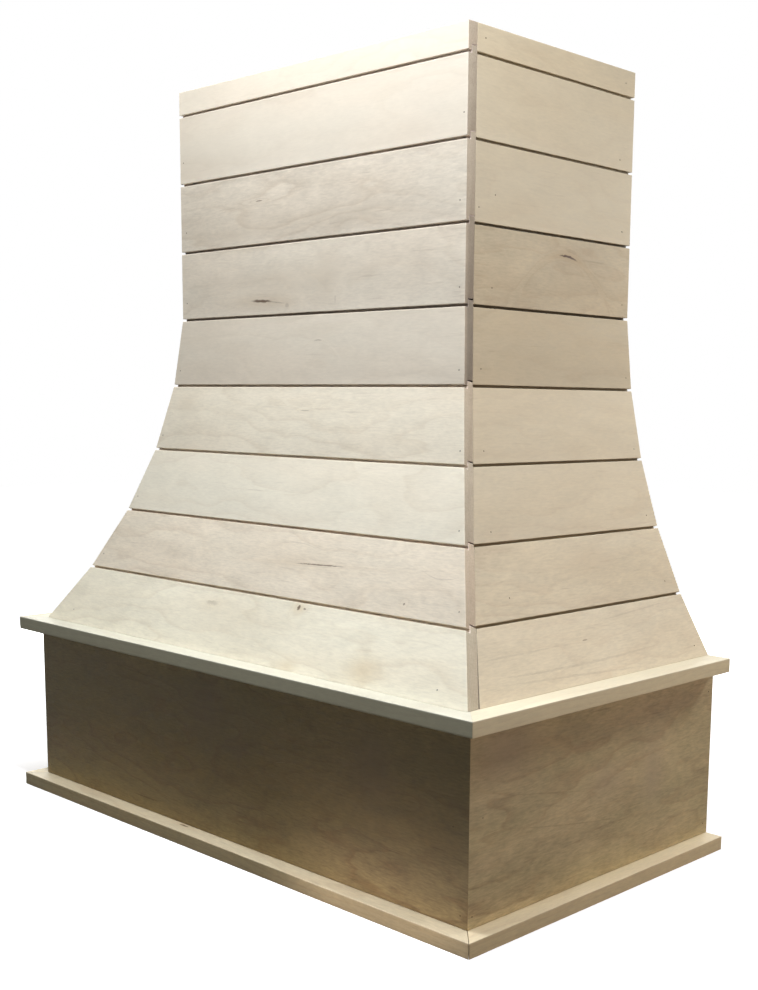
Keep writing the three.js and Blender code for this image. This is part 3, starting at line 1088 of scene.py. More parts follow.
# The panels' maple is darker and browner than the mouldings', partly its own colour and partly
# painted shade.
PANEL_MAPLE = WoodFinish("maple_panel", paint(187, 170, 128), paint(183, 168, 124),
                         paint(154, 130, 94), paint(126, 102, 72), swirl=0.11,
                         line_spacing=0.014, cloud_share=0.3, mottle_share=0.24,
                         fibre_share=0.5)
END_MAPLE = WoodFinish("maple_end", paint(182, 171, 150), paint(178, 165, 144),
                       paint(160, 142, 120), paint(126, 108, 88), swirl=0.02,
                       line_spacing=0.0035, line_share=0.4, roughness=0.75, specular=0.2)
SOFTWOOD = WoodFinish("softwood", paint(205, 180, 138), paint(200, 174, 130),
                      paint(172, 132, 86), paint(142, 104, 66), line_spacing=0.0052,
                      swirl=0.04, line_share=0.65, cloud_share=0.3, fibre_share=0.25,
                      roughness=0.72, specular=0.25)
PLYWOOD = WoodFinish("plywood", paint(200, 176, 138), paint(192, 166, 128),
                     paint(170, 138, 98), paint(128, 94, 62), line_spacing=0.006,
                     swirl=0.09, line_share=0.4, cloud_share=0.3, fibre_share=0.25,
                     roughness=0.75, specular=0.25)


# --- The boards -------------------------------------------------------------------------------


@dataclass(frozen=True)
class Course:
    """One flat band of a face, from its top point down a slope of its own."""

    top_out: float
    top_height: float
    tilt: float
    length: float

    def to_face(self, across: Array, behind: Array) -> tuple[Array, Array]:
        """Where a point of a board lies: down the slope, and behind it along its normal."""
        sin, cos = math.sin(self.tilt), math.cos(self.tilt)
        return (self.top_out + across * sin - behind * cos,
                self.top_height - across * cos - behind * sin)

    def out_at(self, behind: float, height: Array) -> Array:
        """How far out the plane at this depth stands at a height."""
        drop = (self.top_height - height) * math.tan(self.tilt)
        return self.top_out + drop - behind / math.cos(self.tilt)

    def across_at(self, behind: float, height: float) -> float:
        """How far down the slope the plane at this depth reaches a height."""
        drop = self.top_height - height - behind * math.sin(self.tilt)
        return drop / math.cos(self.tilt)


@dataclass(frozen=True)
class ShiplapBoards:
    """The courses of lapped boards on the front and both sides."""

    sizes: CoverSizes
    thickness: float = 0.015875
    strip_height: float = 0.0348
    course_height: float = 0.0992
    upright: int = 3
    flared: int = 5
    flare_step: float = math.radians(6.25)
    groove: float = 0.0036
    lap: float = 0.0095
    lip: float = 0.00635
    lap_seam: float = 0.0003
    tongue_room: float = 0.0005
    arris: float = 0.0004
    inner_edge: float = 0.0004
    foot_seam: float = 0.00006
    short_end: float = 0.0024
    face_rows: int = 13
    far_brads: tuple[float, float] = (0.0021, 0.0034)
    left_shift: float = 0.0037
    front_brads: tuple[tuple[tuple[float, float], ...], ...] = (
        (), ((0.0058, 0.0702),), ((0.0104, 0.0731),), ((0.0092, 0.0776),), ((0.0088, 0.0798),),
        ((0.0067, 0.0809),), ((0.0089, 0.0807),), ((0.0103, 0.0801),), ((0.0469, 0.0783),))
    side_brads: tuple[tuple[tuple[float, float], ...], ...] = (
        ((0.0312, 0.0152),), (), ((0.0234, 0.0797), (0.0537, 0.0619)), ((0.0502, 0.0757),),
        ((0.031, 0.0778),), ((0.0364, 0.0815),), ((0.0482, 0.0843),), ((0.0796, 0.0702),), ())
    wall_brads: tuple[tuple[float, float], ...] = (
        (0.021, 0.0172), (0.0295, 0.0845), (0.0195, 0.0802), (0.0139, 0.0799), (0.011, 0.0824),
        (0.0142, 0.0844), (0.0203, 0.0815), (0.0265, 0.0793), (0.0222, 0.0788))

    def courses(self) -> list[Course]:
        """Every course from the top down: the strip, the upright ones and the flared ones."""
        laid = [Course(0.0, self.sizes.height, 0.0, self.strip_height)]
        last = self.upright + self.flared
        for number in range(1, last + 1):
            above = laid[-1]
            out, height = above.to_face(above.length, 0.0)
            tilt = max(0, number - self.upright) * self.flare_step
            to_ledge = (height - self.sizes.ledge_top) / math.cos(tilt)
            length = to_ledge if number == last else self.course_height
            laid.append(Course(out, height, tilt, length))
        return laid

    def outline(self, number: int, holes: Sequence[BradHole]) -> Outline:
        """The section of a board: its tongue, its show face, its lip and its back.

        The lip of the board above covers the tongue, and the groove's half lies on each side of
        the course's top line. The back of a flared board starts where the planes behind the two
        courses meet, half the turn's tangent times the thickness up the slope.

        Args:
            number: The number of the course, from 0 at the top.
            holes: The nail holes, which get close rows of points.

        Returns:
            The outline.
        """
        laid = self.courses()
        course, depth = laid[number], self.thickness
        rise, front = self.lap - self.groove / 2, self.lip + self.lap_seam / 2
        radii, small = [], self.inner_edge
        if number == 0:
            corners = [(0.0, depth), (0.0, 0.0)]
            radii += [small, self.arris]
        else:
            turn = course.tilt - laid[number - 1].tilt
            bevelled = (depth - rise * math.sin(turn)) / math.cos(turn)
            corners = [(-depth * math.tan(turn / 2), depth)] if turn > 0 else []
            corners += [(-rise, bevelled), (-rise, front), (self.groove / 2, front),
                        (self.groove / 2, 0.0)]
            radii += [small] * (len(corners) - 1) + [self.arris]
        top = len(corners) - 1
        if course is laid[-1]:
            level = self.sizes.ledge_top + self.foot_seam
            corners += [(course.across_at(0.0, level), 0.0),
                        (course.across_at(depth, level), depth)]
            radii += [self.foot_seam, self.foot_seam]
        else:
            end = course.length - self.groove / 2
            shoulder = course.length - rise - self.tongue_room
            back = self.lip - self.lap_seam / 2
            corners += [(end, 0.0), (end, back), (shoulder, back), (shoulder, depth)]
            radii += [self.arris, small, small, small]
        rows = [np.linspace(corners[top][0], corners[top + 1][0], self.face_rows)]
        rows += [hole.across + FINE for hole in holes]
        return make_outline(corners, radii, (top, top + 1), top, np.concatenate(rows))

    def cuts(self, face: Face, number: int) -> tuple[CutAt, CutAt]:
        """Where the boards of a course end.

        The front ones end in the side boards' outer planes. The side ones run from the wall to
        just behind the front ones, and the lowest are a little short at the foot, in proportion
        to the distance below their heads.

        Args:
            face: The face.
            number: The number of the course.

        Returns:
            The first and the last cut.
        """
        laid = self.courses()
        course, sizes = laid[number], self.sizes
        if face is Face.FRONT:
            return (lambda out, height: -(sizes.upper_width / 2 + course.out_at(0.0, height)),
                    lambda out, height: sizes.upper_width / 2 + course.out_at(0.0, height))
        short = self.short_end if course is laid[-1] else 0.0
        head = course.to_face(self.groove / 2 - self.lap, 0.0)[1]
        fall = head - sizes.ledge_top

        def at_front(out: Array, height: Array) -> Array:
            """The plane behind the front boards, less what the end is short."""
            behind = course.out_at(self.thickness + sizes.seam, height)
            return sizes.upper_depth + behind - short * (head - height) / fall

        return (lambda out, height: 0.0 * height), at_front

    def holes(self, face: Face, number: int) -> tuple[BradHole, ...]:
        """The nail holes of a board: those near its ends at the corners, and near the wall.

        A front board's far end has them a little further in and higher up than its near end, and
        the left boards have them a little off the right ones' places.

        Args:
            face: The face.
            number: The number of the course.

        Returns:
            The holes.
        """
        course = self.courses()[number]
        if face is Face.FRONT:
            further, higher = self.far_brads
            found = []
            for inset, across in self.front_brads[number]:
                end = self.front_edge(course, across, self.sizes.upper_width / 2)
                found += [BradHole(end - inset, across),
                          BradHole(further - end + inset, across - higher)]
            return tuple(found)
        shift = 0.0 if face is Face.RIGHT else self.left_shift
        from_wall, low = self.wall_brads[number]
        found = [BradHole(from_wall + shift / 2, low - shift)]
        for inset, across in self.side_brads[number]:
            end = self.front_edge(course, across, self.sizes.upper_depth)
            found.append(BradHole(end - inset - shift, across - shift / 2))
        return tuple(found)

    def front_edge(self, course: Course, across: float, reach: float) -> float:
        """How far along its face a board's outer plane reaches at a distance down its slope."""
        return reach + float(course.out_at(0.0, course.to_face(across, 0.0)[1]))

    def build(self, finishes: Mapping[Face, bpy.types.Material], sawn: bpy.types.Material,
              looks: Mapping[Face, Sequence[Look]]) -> None:
        """Make every board of every face.

        Args:
            finishes: The finish of each face's boards.
            sawn: The finish of the sawn ends.
            looks: The look of each board, from the top down.
        """
        planes = {face: FacePlane(face, self.sizes.upper_width / 2, self.sizes.upper_depth,
                                  self.sizes.wall) for face in Face}
        for face in Face:
            for number, course in enumerate(self.courses()):
                node = board_node(face, number)
                holes = self.holes(face, number)
                first, last = self.cuts(face, number)
                stick = Stick(f"{node}_wood", self.outline(number, holes), planes[face],
                              course.to_face, first, last,
                              Relief(holes, seed=board_seed(node)), looks[face][number],
                              board_offset(node), ends_exposed=(True, face is Face.FRONT),
                              plain_back=True)
                install(stick.build((finishes[face], sawn)), node)


def board_node(face: Face, number: int) -> str:
    """The name of a board's node, by its face and its course."""
    return f"{face.value}_top_strip" if number == 0 else f"{face.value}_board_{number}"


# The weight of a name's first letter, the count of different seeds, and the size of the log.
FIRST_WEIGHT, SEEDS = 7, 9973
LOG: Rgb = (40.0, 9.0, 3.0)


def board_seed(node: str) -> int:
    """A number of its own for each node: its letters' codes, weighted by their places."""
    codes = np.frombuffer(node.encode(), np.uint8).astype(np.int64)
    return int((codes * (FIRST_WEIGHT + np.arange(len(codes)))).sum() % SEEDS)


def board_offset(node: str) -> Rgb:
    """Where in the endless log a piece is cut from, so that no two look the same."""
    rng = np.random.default_rng(board_seed(node))
    return tuple(float(value) for value in rng.uniform((0.0, 0.0, 0.0), LOG))


# --- Mouldings and panels ---------------------------------------------------------------------


@dataclass(frozen=True)
class MitredRing:
    """One section run round the front and both sides of the apron, with mitred corners."""

    sizes: CoverSizes
    name: str
    corners: tuple[tuple[float, float], ...]
    radii: tuple[float, ...]
    exposed: tuple[int, ...]
    to_face: Callable[[Array, Array], tuple[Array, Array]]
    slot: str
    looks: Mapping[Face, Look]
    mitre_gap: float
    holes: tuple[tuple[BradHole, ...], ...] = ((), (), ())
    # Whether the arrises at the mitres are sanded and lit lighter as a painted highlight.
    worn_and_highlit_corners: bool = False
    row_gap: float = 0.012
    fewest_rows: int = 4

    def cuts(self, face: Face) -> tuple[CutAt, CutAt]:
        """The mitre cuts, which run out at 45 degrees, and the square cuts at the wall."""
        gap = self.mitre_gap / math.sqrt(2)
        half, depth = self.sizes.apron_width / 2, self.sizes.apron_depth
        if face is Face.FRONT:
            return (lambda out, height: gap - half - out), (lambda out, height: half + out - gap)
        return (lambda out, height: 0.0 * out), (lambda out, height: depth + out - gap)

    def build(self, materials: Sequence[bpy.types.Material]) -> None:
        """Make the three lengths.

        Args:
            materials: The finish of the faces, and the finish of the sawn ends.
        """
        start, end = self.corners[0][0], self.corners[1][0]
        count = max(self.fewest_rows, round(abs(end - start) / self.row_gap))
        for face, holes in zip(Face, self.holes):
            node = f"{self.name}_{face.value}"
            plane = FacePlane(face, self.sizes.apron_width / 2, self.sizes.apron_depth,
                              self.sizes.wall)
            rows = [np.linspace(start, end, count + 1)] + [hole.across + FINE for hole in holes]
            outline = make_outline(self.corners, self.radii, self.exposed, 0,
                                   np.concatenate(rows))
            first, last = self.cuts(face)
            stick = Stick(f"{node}_wood", outline, plane, self.to_face, first, last,
                          Relief(holes, seed=board_seed(node)), self.looks[face],
                          board_offset(node), end_ease=self.mitre_gap,
                          ends_exposed=(self.worn_and_highlit_corners and face is Face.FRONT,
                                        self.worn_and_highlit_corners))
            install(stick.build(materials), node)


@dataclass(frozen=True)
class Apron:
    """The three panels under the boards, with a flat moulding above and below them.

    Each brad is an inset from the corner and a height over the panel's lower edge. wall_brads
    holds the inset from the wall, and the upper one's distance from the panel's upper edge.
    """

    sizes: CoverSizes
    ledge_reach: float = 0.0889
    foot_reach: float = 0.01905
    arris: float = 0.0006
    hidden_arris: float = 0.0005
    panel_arris: float = 0.0004
    tight_mitre: float = 0.00008
    open_mitre: float = 0.0006
    front_brads: tuple[tuple[float, float], ...] = ((0.0119, 0.0147), (0.0247, 0.118))
    side_brads: tuple[tuple[float, float], ...] = ((0.0074, 0.0147), (0.0234, 0.1287))
    wall_brads: tuple[float, float] = (0.0098, 0.03)

    def moulding(self, name: str, reach: float, top: float, mitre_gap: float) -> MitredRing:
        """A flat moulding. Its show face is its top, and its depth is measured down from it.

        Args:
            name: The start of the nodes' names.
            reach: How far it reaches in from the apron's faces.
            top: The height of its top.
            mitre_gap: The gap in its mitres.

        Returns:
            The ring of three lengths.
        """
        plank, out = self.sizes.plank, self.sizes.overhang
        corners = ((-reach, 0.0), (out, 0.0), (out, plank), (-reach, plank))
        radii = (self.hidden_arris, self.arris, self.arris, self.hidden_arris)
        return MitredRing(self.sizes, name, corners, radii, (1, 2),
                          lambda across, behind: (across, top - behind), "mouldings",
                          APRON_LOOKS[name], mitre_gap)

    def panels(self) -> MitredRing:
        """The panels. Their show face is the outer one, measured down from its upper edge."""
        top = self.sizes.ledge_top - self.sizes.plank - self.sizes.seam
        tall = top - self.sizes.plank - self.sizes.seam
        corners = ((0.0, 0.0), (tall, 0.0), (tall, self.sizes.plank), (0.0, self.sizes.plank))
        half, depth = self.sizes.apron_width / 2, self.sizes.apron_depth
        front = tuple(BradHole(side * (half - inset), tall - rise) for side in (1, -1)
                      for inset, rise in self.front_brads)
        from_wall, from_top = self.wall_brads
        side = (*(BradHole(depth - inset, tall - rise) for inset, rise in self.side_brads),
                BradHole(from_wall, tall - self.side_brads[0][1]),
                BradHole(from_wall, from_top))
        return MitredRing(self.sizes, "apron", corners, (self.panel_arris,) * 4, (),
                          lambda across, behind: (-behind, top - across), "apron_panels",
                          APRON_LOOKS["apron"], self.tight_mitre, (front, side, side), True)

    def build(self, mouldings: Sequence[bpy.types.Material],
              panels: Sequence[bpy.types.Material]) -> None:
        """Make the mouldings and the panels.

        Args:
            mouldings: The finish of the mouldings' faces, and of their ends.
            panels: The finish of the panels' faces, and of their ends.
        """
        for name, reach, top, gap in (
                ("ledge", self.ledge_reach, self.sizes.ledge_top, self.tight_mitre),
                ("foot", self.foot_reach, self.sizes.plank, self.open_mitre)):
            self.moulding(name, reach, top, gap).build(mouldings)
        self.panels().build(panels)


# --- The frame behind -------------------------------------------------------------------------


@dataclass(frozen=True)
class InnerFrame:
    """The posts, rails, sills and cleats inside, which keep their own solids."""

    weld: float = 0.00001
    ease: float = 0.0012
    ease_steps: int = 2
    ease_from: float = math.radians(40)
    built_up: tuple[str, ...] = ("corner_post", "back_stile", "centre_rib")
    upright: tuple[str, ...] = ("apron_block",)

    def dress(self, shop: WoodShop, nodes: Mapping[str, bpy.types.Object],
              members: Sequence[str]) -> None:
        """Give each piece its wood and its eased edges.

        Args:
            shop: The wood shop that makes the materials.
            nodes: The objects of the nodes, by name.
            members: The names of the frame's nodes.
        """
        for name in members:
            piece = nodes[name]
            if name.startswith(self.built_up):
                ply = PlyAxis.X if name == "centre_rib" else PlyAxis.Y
                wood = shop.frame_wood(PLYWOOD, GrainAxis.Z, ply)
            else:
                wood = shop.frame_wood(SOFTWOOD, self.grain(name), PlyAxis.NONE)
            piece.data.materials.clear()
            piece.data.materials.append(wood)
            join = piece.modifiers.new("join", "WELD")
            join.merge_threshold = self.weld
            bevel = piece.modifiers.new("ease", "BEVEL")
            bevel.width, bevel.segments = self.ease, self.ease_steps
            bevel.limit_method, bevel.angle_limit = "ANGLE", self.ease_from
            log.info("%s: %s", name, wood.name)

    def grain(self, name: str) -> GrainAxis:
        """Rails run along X on the front and the back, and along Y on the sides."""
        if name.startswith(self.upright):
            return GrainAxis.Z
        return GrainAxis.Y if name.endswith(("_right", "_left")) else GrainAxis.X


# --- The studio -------------------------------------------------------------------------------


WHITE: Paint = (1.0, 1.0, 1.0, 1.0)
COOL: Rgb = (0.92, 0.93, 1.0)
WARM: Rgb = (1.0, 0.74, 0.67)


@dataclass(frozen=True)
class SoftLamp:
    """A square or oblong lamp with its place, what it points at, its size and its power."""

    name: str
    place: Rgb
    aim: Rgb
    size: tuple[float, float]
    power: float
    colour: Rgb = (1.0, 1.0, 1.0)


@dataclass(frozen=True)
class Studio:
    """The floor, the lamps, the sky and the camera.

    The floor's own light fades from floor_glow to full over the distances floor_fade. Places
    are in metres, and focal, principal and image in pixels of the photograph.
    """

    lamps: tuple[SoftLamp, ...] = (
        SoftLamp("front_left", (-0.6, -0.45, 1.9), (-0.3, -0.35, 0.0), (0.3, 0.06), 7.0),
        SoftLamp("front_over_left", (-0.3, -0.34, 1.7), (-0.18, -0.34, 0.0), (0.25, 0.12), 2.75),
        SoftLamp("front_low", (0.0, -0.44, 1.5), (0.0, -0.34, 0.0), (0.3, 0.06), 6.8, COOL),
        SoftLamp("front_low_right", (0.5, -0.44, 1.5), (0.5, -0.34, 0.0), (0.3, 0.06), 6.3, COOL),
        SoftLamp("front_right", (0.9, -0.45, 1.9), (0.45, -0.35, 0.0), (0.3, 0.06), 3.52, COOL),
        SoftLamp("front_far_right", (1.3, -0.45, 1.9), (0.65, -0.35, 0.0), (0.3, 0.06), 1.41),
        SoftLamp("corner", (0.9, -0.32, 1.5), (0.5, -0.2, 0.0), (0.2, 0.2), 3.9, COOL),
        SoftLamp("rear_right", (0.794, 0.953, 0.972), (0.45, 0.1, 0.2), (0.18, 0.18), 5.5),
        SoftLamp("side_low", (1.6, 0.3, 0.5), (0.4, 0.0, 0.4), (0.3, 0.3), 4.0, WARM),
        SoftLamp("left_side", (-1.8, 0.7, 0.45), (-0.35, 0.1, 0.5), (0.8, 0.8), 16.0),
        SoftLamp("back", (-0.2, 2.2, 0.8), (0.0, 0.26, 0.5), (1.0, 1.0), 19.0),
        SoftLamp("foot_right", (0.34, -0.33, 0.03), (0.34, -0.238, 0.035), (0.3, 0.03), 0.066,
                 (1.0, 0.83, 0.81)),
        SoftLamp("foot_long", (0.0, -0.36, 0.07), (0.0, -0.238, 0.04), (0.9, 0.03), 0.044,
                 (1.0, 0.62, 0.2)),
    )
    camera_place: Rgb = (1.4133, -1.3021, 0.6154)
    yaw: float = math.radians(43.386)
    pitch: float = math.radians(-8.903)
    roll: float = math.radians(0.690)
    focal: float = 1318.0
    principal: tuple[float, float] = (439.8, 608.8)
    image: tuple[int, int] = (758, 990)
    sensor: float = 36.0
    clip: tuple[float, float] = (0.05, 60.0)
    sky: float = 0.0165
    sky_colour: Paint = (1.0, 0.98, 0.94, 1.0)
    floor_size: float = 14.0
    floor_fade: tuple[float, float] = (0.6, 1.8)
    floor_glow: float = 0.42
    floor_colour: Paint = (0.85, 0.85, 0.85, 1.0)
    floor_bounce: Paint = (0.03, 0.028, 0.025, 1.0)

    def build(self) -> None:
        """Set up the floor, the lamps, the sky, the camera and the view."""
        self.lay_floor()
        for lamp in self.lamps:
            self.hang(lamp)
        self.light_sky()
        self.stand_camera()
        bpy.context.scene.view_settings.view_transform = "Standard"

    def lay_floor(self) -> None:
        """Lay a plain pale floor, which fades to the white of the sky far from the object."""
        half = self.floor_size / 2
        mesh = bpy.data.meshes.new("floor")
        mesh.from_pydata([(-half, -half, 0), (half, -half, 0), (half, half, 0), (-half, half, 0)],
                         [], [(0, 1, 2, 3)])
        floor = bpy.data.objects.new("floor", mesh)
        bpy.context.scene.collection.objects.link(floor)
        material, sheet = bare_material("pale_floor")
        place = sheet.node("ShaderNodeTexCoord").outputs["Object"]
        away = sheet.node("ShaderNodeVectorMath", {0: place}, operation="LENGTH").outputs["Value"]
        glow = sheet.ramp(away, *self.floor_fade, self.floor_glow)
        own = sheet.node("ShaderNodeEmission", {"Color": WHITE, "Strength": glow})
        pale = sheet.node("ShaderNodeBsdfDiffuse", {"Color": self.floor_colour})
        shown = sheet.node("ShaderNodeAddShader", {0: own.outputs[0], 1: pale.outputs[0]})
        bounce = sheet.node("ShaderNodeBsdfDiffuse", {"Color": self.floor_bounce})
        self.show(sheet, bounce, shown, "ShaderNodeOutputMaterial")
        mesh.materials.append(material)

    def show(self, sheet: Sheet, lighting: bpy.types.Node, seen: bpy.types.Node, out: str
             ) -> None:
        """Put out one shader for what lights, and another for what is seen.

        Seen means that the ray comes from the camera, a reflection or glass.

        Args:
            sheet: The sheet.
            lighting: The shader that lights the object.
            seen: The shader that is seen.
            out: The type of the output node.
        """
        path = sheet.node("ShaderNodeLightPath").outputs
        direct = sheet.math("MAXIMUM", path["Is Camera Ray"], path["Is Glossy Ray"])
        either = sheet.math("MAXIMUM", direct, path["Is Transmission Ray"])
        mixed = sheet.node("ShaderNodeMixShader", {0: either, 1: lighting.outputs[0],
                                                   2: seen.outputs[0]})
        sheet.node(out, {"Surface": mixed.outputs[0]})

    def light_sky(self) -> None:
        """Make the sky white where it is seen, and faint where it lights."""
        world = bpy.data.worlds.new("sky")
        bpy.context.scene.world = world
        world.use_nodes = True
        world.node_tree.nodes.clear()
        sheet = Sheet(world.node_tree)
        faint, white = (sheet.node("ShaderNodeBackground", {"Color": colour, "Strength": power})
                        for colour, power in ((self.sky_colour, self.sky), (WHITE, 1.0)))
        self.show(sheet, faint, white, "ShaderNodeOutputWorld")

    def hang(self, lamp: SoftLamp) -> None:
        """Hang a lamp and turn it to what it points at, with its width square to Y."""
        light = bpy.data.lights.new(lamp.name, "AREA")
        light.shape = "RECTANGLE"
        light.size, light.size_y = lamp.size
        light.energy, light.color = lamp.power, lamp.colour
        holder = bpy.data.objects.new(lamp.name, light)
        holder.visible_camera = False
        bpy.context.scene.collection.objects.link(holder)
        back = np.array(lamp.place) - np.array(lamp.aim)
        back /= np.linalg.norm(back)
        side = np.cross([0.0, 1.0, 0.0], back)
        side /= np.linalg.norm(side)
        holder.matrix_world = axes_matrix(side, np.cross(back, side), back, lamp.place)

    def stand_camera(self) -> None:
        """Stand the camera where the photograph was taken from.

        It looks along (-sin yaw cos pitch, cos yaw cos pitch, sin pitch), and its level right
        and its up are turned by the roll about that. The focal length in pixels, over the
        image's long side, is the lens over the sensor's width. The shift is the distance of the
        frame's middle from the principal point, over the long side.
        """
        yaw, pitch = self.yaw, self.pitch
        ahead = np.array([-math.sin(yaw) * math.cos(pitch), math.cos(yaw) * math.cos(pitch),
                          math.sin(pitch)])
        level = np.array([math.cos(yaw), math.sin(yaw), 0.0])
        rise = np.cross(level, ahead)
        cos, sin = math.cos(self.roll), math.sin(self.roll)
        long_side = max(self.image)
        camera = bpy.data.cameras.new("camera")
        camera.sensor_width, camera.sensor_fit = self.sensor, "AUTO"
        camera.lens = self.focal / long_side * camera.sensor_width
        camera.shift_x = (self.image[0] / 2 - self.principal[0]) / long_side
        camera.shift_y = (self.principal[1] - self.image[1] / 2) / long_side
        camera.clip_start, camera.clip_end = self.clip
        holder = bpy.data.objects.new("camera", camera)
        bpy.context.scene.collection.objects.link(holder)
        holder.matrix_world = axes_matrix(cos * level + sin * rise, cos * rise - sin * level,
                                          -ahead, self.camera_place)
        bpy.context.scene.camera = holder


def axes_matrix(right: Array, up: Array, back: Array, place: Sequence[float]) -> Matrix:
    """The placing of an object from its three axes and its origin."""
    columns = np.eye(4)
    columns[:3, 0], columns[:3, 1], columns[:3, 2], columns[:3, 3] = right, up, back, place
    return Matrix(columns.tolist())


# --- The whole cover --------------------------------------------------------------------------

# A board's groove tone darkens its laps as painted shade in the grooves. The flared courses, 5 to
# 8, are set lighter than the upright ones.
FRONT_LOOKS = (
    Look(0.91, 0.0, 0.45, ends=1.14),
    Look(0.88, 0.0, 0.4, (Stain(-0.24, 0.07, 0.09, 0.025, 0.08),)),
    Look(0.87, 0.0, 1.2, (Stain(-0.08, 0.075, 0.2, 0.02, 0.15), Stain(0.15, 0.07, 0.1, 0.02, 0.1),
                          Stain(-0.164, 0.085, 0.02, 0.006, 0.18),
                          Stain(0.113, 0.08, 0.02, 0.008, 0.12)), ends=1.1),
    Look(1.0, 0.0, 0.95, (Stain(-0.02, 0.05, 0.2, 0.018, 0.2),
                          Stain(0.035, 0.06, 0.02, 0.035, 0.12),
                          Stain(-0.1, 0.08, 0.07, 0.012, 0.25)), groove=0.7),
    Look(0.95, 0.0, 0.6, groove=0.6),
    Look(1.17, 0.0, 0.85, (Stain(-0.26, 0.028, 0.02, 0.012, 0.2),), green=0.015),
    Look(1.23, -0.02, 0.65, ends=0.93, green=0.02),
    Look(1.12, 0.02, 1.1, (Stain(0.06, 0.05, 0.05, 0.012, 0.2, 0.3),), ends=1.05),
    Look(1.27, -0.01, 0.9, (Stain(0.25, 0.072, 0.03, 0.012, 0.06, 0.5),
                            Stain(0.02, 0.05, 0.1, 0.04, 0.1),
                            Stain(0.105, 0.011, 0.016, 0.006, 0.2)), ends=0.85, green=0.03),
)
# The side boards' groove tones are painted shade in their grooves.
SIDE_LOOKS = (
    Look(1.03, 0.02, 0.7), Look(1.02, 0.0, 0.6), Look(0.97, 0.0, 0.6, groove=0.85),
    Look(0.81, 0.06, 1.4, (Stain(0.125, 0.022, 0.05, 0.011, 0.25, -0.3),
                           Stain(0.1, 0.055, 0.1, 0.02, 0.12)), groove=0.45),
    Look(0.79, 0.06, 0.8, groove=0.4), Look(1.03, 0.0, 0.7, groove=0.75),
    Look(1.02, -0.01, 0.8, groove=0.85),
    Look(1.0, 0.0, 1.15, (Stain(0.17, 0.036, 0.05, 0.018, 0.25),)),
    # The lowest board's sawn ends are darker as painted shade in the narrow slit at the corner.
    Look(1.05, -0.02, 1.1, ends=0.7),
)
BOARD_LOOKS = {Face.FRONT: FRONT_LOOKS, Face.RIGHT: SIDE_LOOKS, Face.LEFT: SIDE_LOOKS[::-1]}
APRON_LOOKS = {
    # The foot's front is set darker, and the ledge's front cooler, than their sides.
    "ledge": {Face.FRONT: Look(1.03, -0.15, 0.7), Face.RIGHT: Look(1.05, -0.05, 0.7),
              Face.LEFT: Look(1.05, -0.05, 0.7)},
    "foot": {Face.FRONT: Look(0.91, 0.02, 1.3), Face.RIGHT: Look(1.1, 0.04, 0.9),
             Face.LEFT: Look(1.1, 0.04, 0.9)},
    # The front panel's low tone is painted shade: it is the same wood as the side panels, standing
    # in the ledge's shade. Its stains darken its upper part, under the ledge.
    "apron": {Face.FRONT: Look(0.63, 0.05, 2.4, (Stain(0.3, 0.073, 0.04, 0.05, 0.6),
                                                 Stain(-0.029, 0.055, 0.05, 0.05, 0.5))),
              Face.RIGHT: Look(1.02, -0.04, 1.95, (Stain(0.139, 0.116, 0.022, 0.045, 0.4),
                                                   Stain(0.44, 0.03, 0.05, 0.03, 0.5),
                                                   Stain(0.241, 0.109, 0.035, 0.02, 0.3))),
              Face.LEFT: Look(1.02, -0.04, 1.95)},
}

FRONT_KNOTS = (
    Knot("front_board_2", -0.1059, 0.0387, 0.008, 0.0008, 0.8, halo=0.06),
    Knot("front_board_3", -0.1024, 0.0783, 0.0240, 0.0023, 0.86, slope=-0.4, halo=0.1),
    Knot("front_board_3", -0.0690, 0.0812, 0.0190, 0.0010, 0.32, slope=-2.0, halo=0.02),
    Knot("front_board_3", -0.0460, 0.0864, 0.0050, 0.0028, 0.22, halo=0.05),
    Knot("front_board_3", 0.0544, 0.0820, 0.0009, 0.0050, 0.25, halo=0.0),
    Knot("front_board_4", 0.0241, 0.0368, 0.009, 0.0006, 0.5, bow=-1.5, halo=0.02),
    Knot("front_board_5", 0.0124, 0.0347, 0.011, 0.0006, 0.45, bow=1.2, halo=0.05),
    Knot("front_board_5", -0.0638, 0.0305, 0.020, 0.0004, 0.25, halo=0.0),
    Knot("front_board_5", 0.1046, 0.0354, 0.022, 0.0004, 0.25, halo=0.0),
    Knot("front_board_6", -0.0599, 0.0518, 0.022, 0.0004, 0.3, halo=0.0),
    Knot("front_board_7", 0.116, 0.047, 0.051, 0.0011, 0.66, slope=1.9, halo=0.08),
    Knot("front_board_7", 0.335, 0.044, 0.032, 0.0008, 0.16, bow=9.0, halo=0.0),
    Knot("front_board_7", 0.060, 0.020, 0.040, 0.0008, 0.14, bow=-7.0, halo=0.0),
    Knot("front_board_7", 0.0272, 0.0370, 0.010, 0.0070, 0.05, halo=0.0),
    Knot("front_board_7", 0.2888, 0.0810, 0.0018, 0.0018, 0.6, halo=0.06),
    Knot("front_board_8", 0.1064, 0.0092, 0.0034, 0.0036, 0.8),
    Knot("front_board_8", 0.1185, 0.0094, 0.0030, 0.0018, 0.55, halo=0.07),
    Knot("front_board_8", -0.0705, 0.0240, 0.015, 0.0040, 0.2, halo=0.04),
    Knot("front_board_8", 0.2650, 0.0740, 0.0085, 0.0062, 0.03, halo=0.34),
    Knot("front_board_8", 0.1303, 0.0900, 0.0060, 0.0030, 0.02, halo=0.25),
)
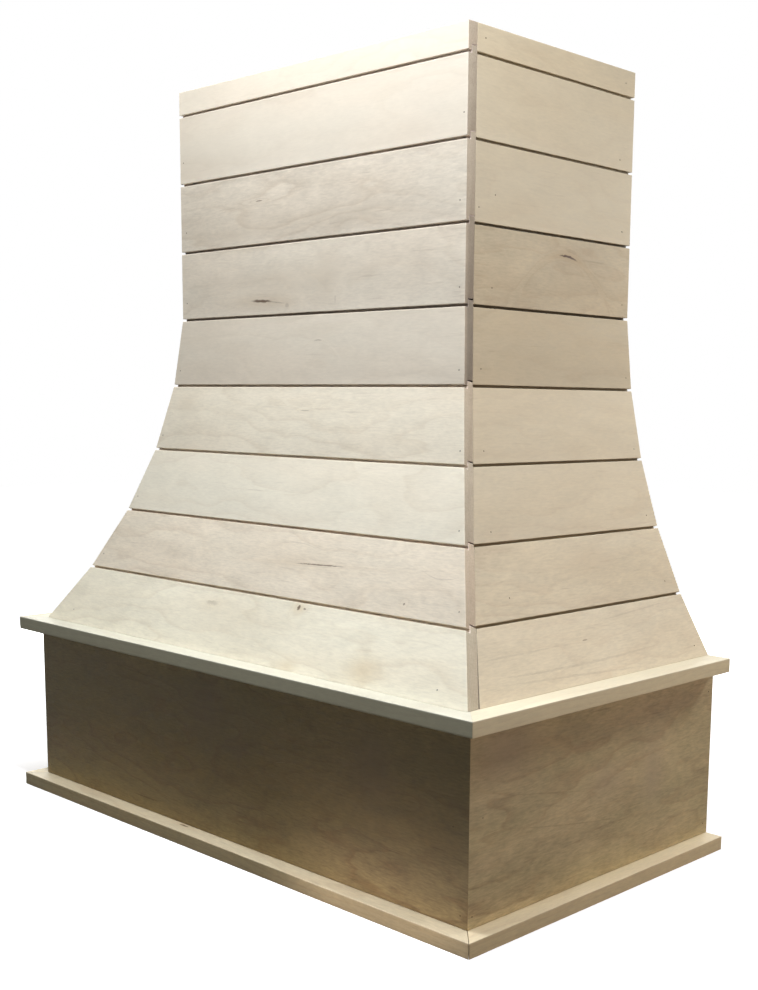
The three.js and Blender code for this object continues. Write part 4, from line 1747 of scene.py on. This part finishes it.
SIDE_KNOTS = (
    Knot("right_board_3", 0.138, 0.0247, 0.021, 0.0019, 1.0, slope=1.15, bow=-1.35, halo=0.22),
    Knot("right_board_3", 0.1321, 0.0175, 0.014, 0.0032, 0.14, slope=0.9, halo=0.1),
    Knot("right_board_3", 0.085, 0.0270, 0.030, 0.0012, 0.18, halo=0.0),
    Knot("right_board_8", 0.2457, 0.0405, 0.006, 0.0009, 0.6, halo=0.06),
    Knot("right_board_8", 0.2700, 0.0702, 0.190, 0.0018, 0.13, bow=3.1, halo=0.0),
    Knot("right_board_8", 0.2875, 0.0830, 0.160, 0.0016, 0.12, slope=5.5, halo=0.0),
    Knot("right_board_8", 0.1250, 0.0144, 0.080, 0.0014, 0.12, slope=-3.8, halo=0.0),
    Knot("right_board_8", 0.3800, 0.0420, 0.090, 0.0013, 0.11, halo=0.0),
)
MOULDING_KNOTS = (Knot("foot_front", -0.081, 0.0051, 0.012, 0.0018, 0.75),)
PANEL_KNOTS = (
    Knot("apron_front", -0.178, 0.216, 0.034, 0.0014, 0.5, halo=0.15),
    Knot("apron_right", 0.360, 0.1013, 0.080, 0.0010, 0.2, slope=13.7, halo=0.0),
    Knot("apron_right", 0.319, 0.1500, 0.125, 0.0010, 0.2, slope=20.3, bow=3.0, halo=0.0),
)


def with_centres(knots: Sequence[Knot]) -> list[tuple[Knot, Rgb]]:
    """Each knot with its centre in the wood's coordinates: its place plus the board's offset."""
    return [(knot, tuple(np.array(board_offset(knot.board))
                         + np.array([knot.along, knot.across, 0.0]))) for knot in knots]


def main() -> None:
    """Build the cover and the studio round it."""
    logging.basicConfig(level=logging.INFO, format="%(name)s %(message)s")
    sizes = CoverSizes()
    shop = WoodShop(GrainShape(), GrainStrength())
    sawn = shop.sawn_end(END_MAPLE)
    front = shop.board_face(FRONT_MAPLE, with_centres(FRONT_KNOTS))
    side = shop.board_face(SIDE_MAPLE, with_centres(SIDE_KNOTS))
    ShiplapBoards(sizes).build({Face.FRONT: front, Face.RIGHT: side, Face.LEFT: side}, sawn,
                               BOARD_LOOKS)
    moulding = shop.board_face(MOULDING_MAPLE, with_centres(MOULDING_KNOTS))
    panel = shop.board_face(PANEL_MAPLE, with_centres(PANEL_KNOTS))
    Apron(sizes).build((moulding, sawn), (panel, sawn))
    members = [part["node"] for part in frame["record"]["subparts"]
               if part["material_slot"] == "frame"]
    InnerFrame().dress(shop, frame["nodes"], members)
    Studio().build()


if __name__ == "__main__":
    main()
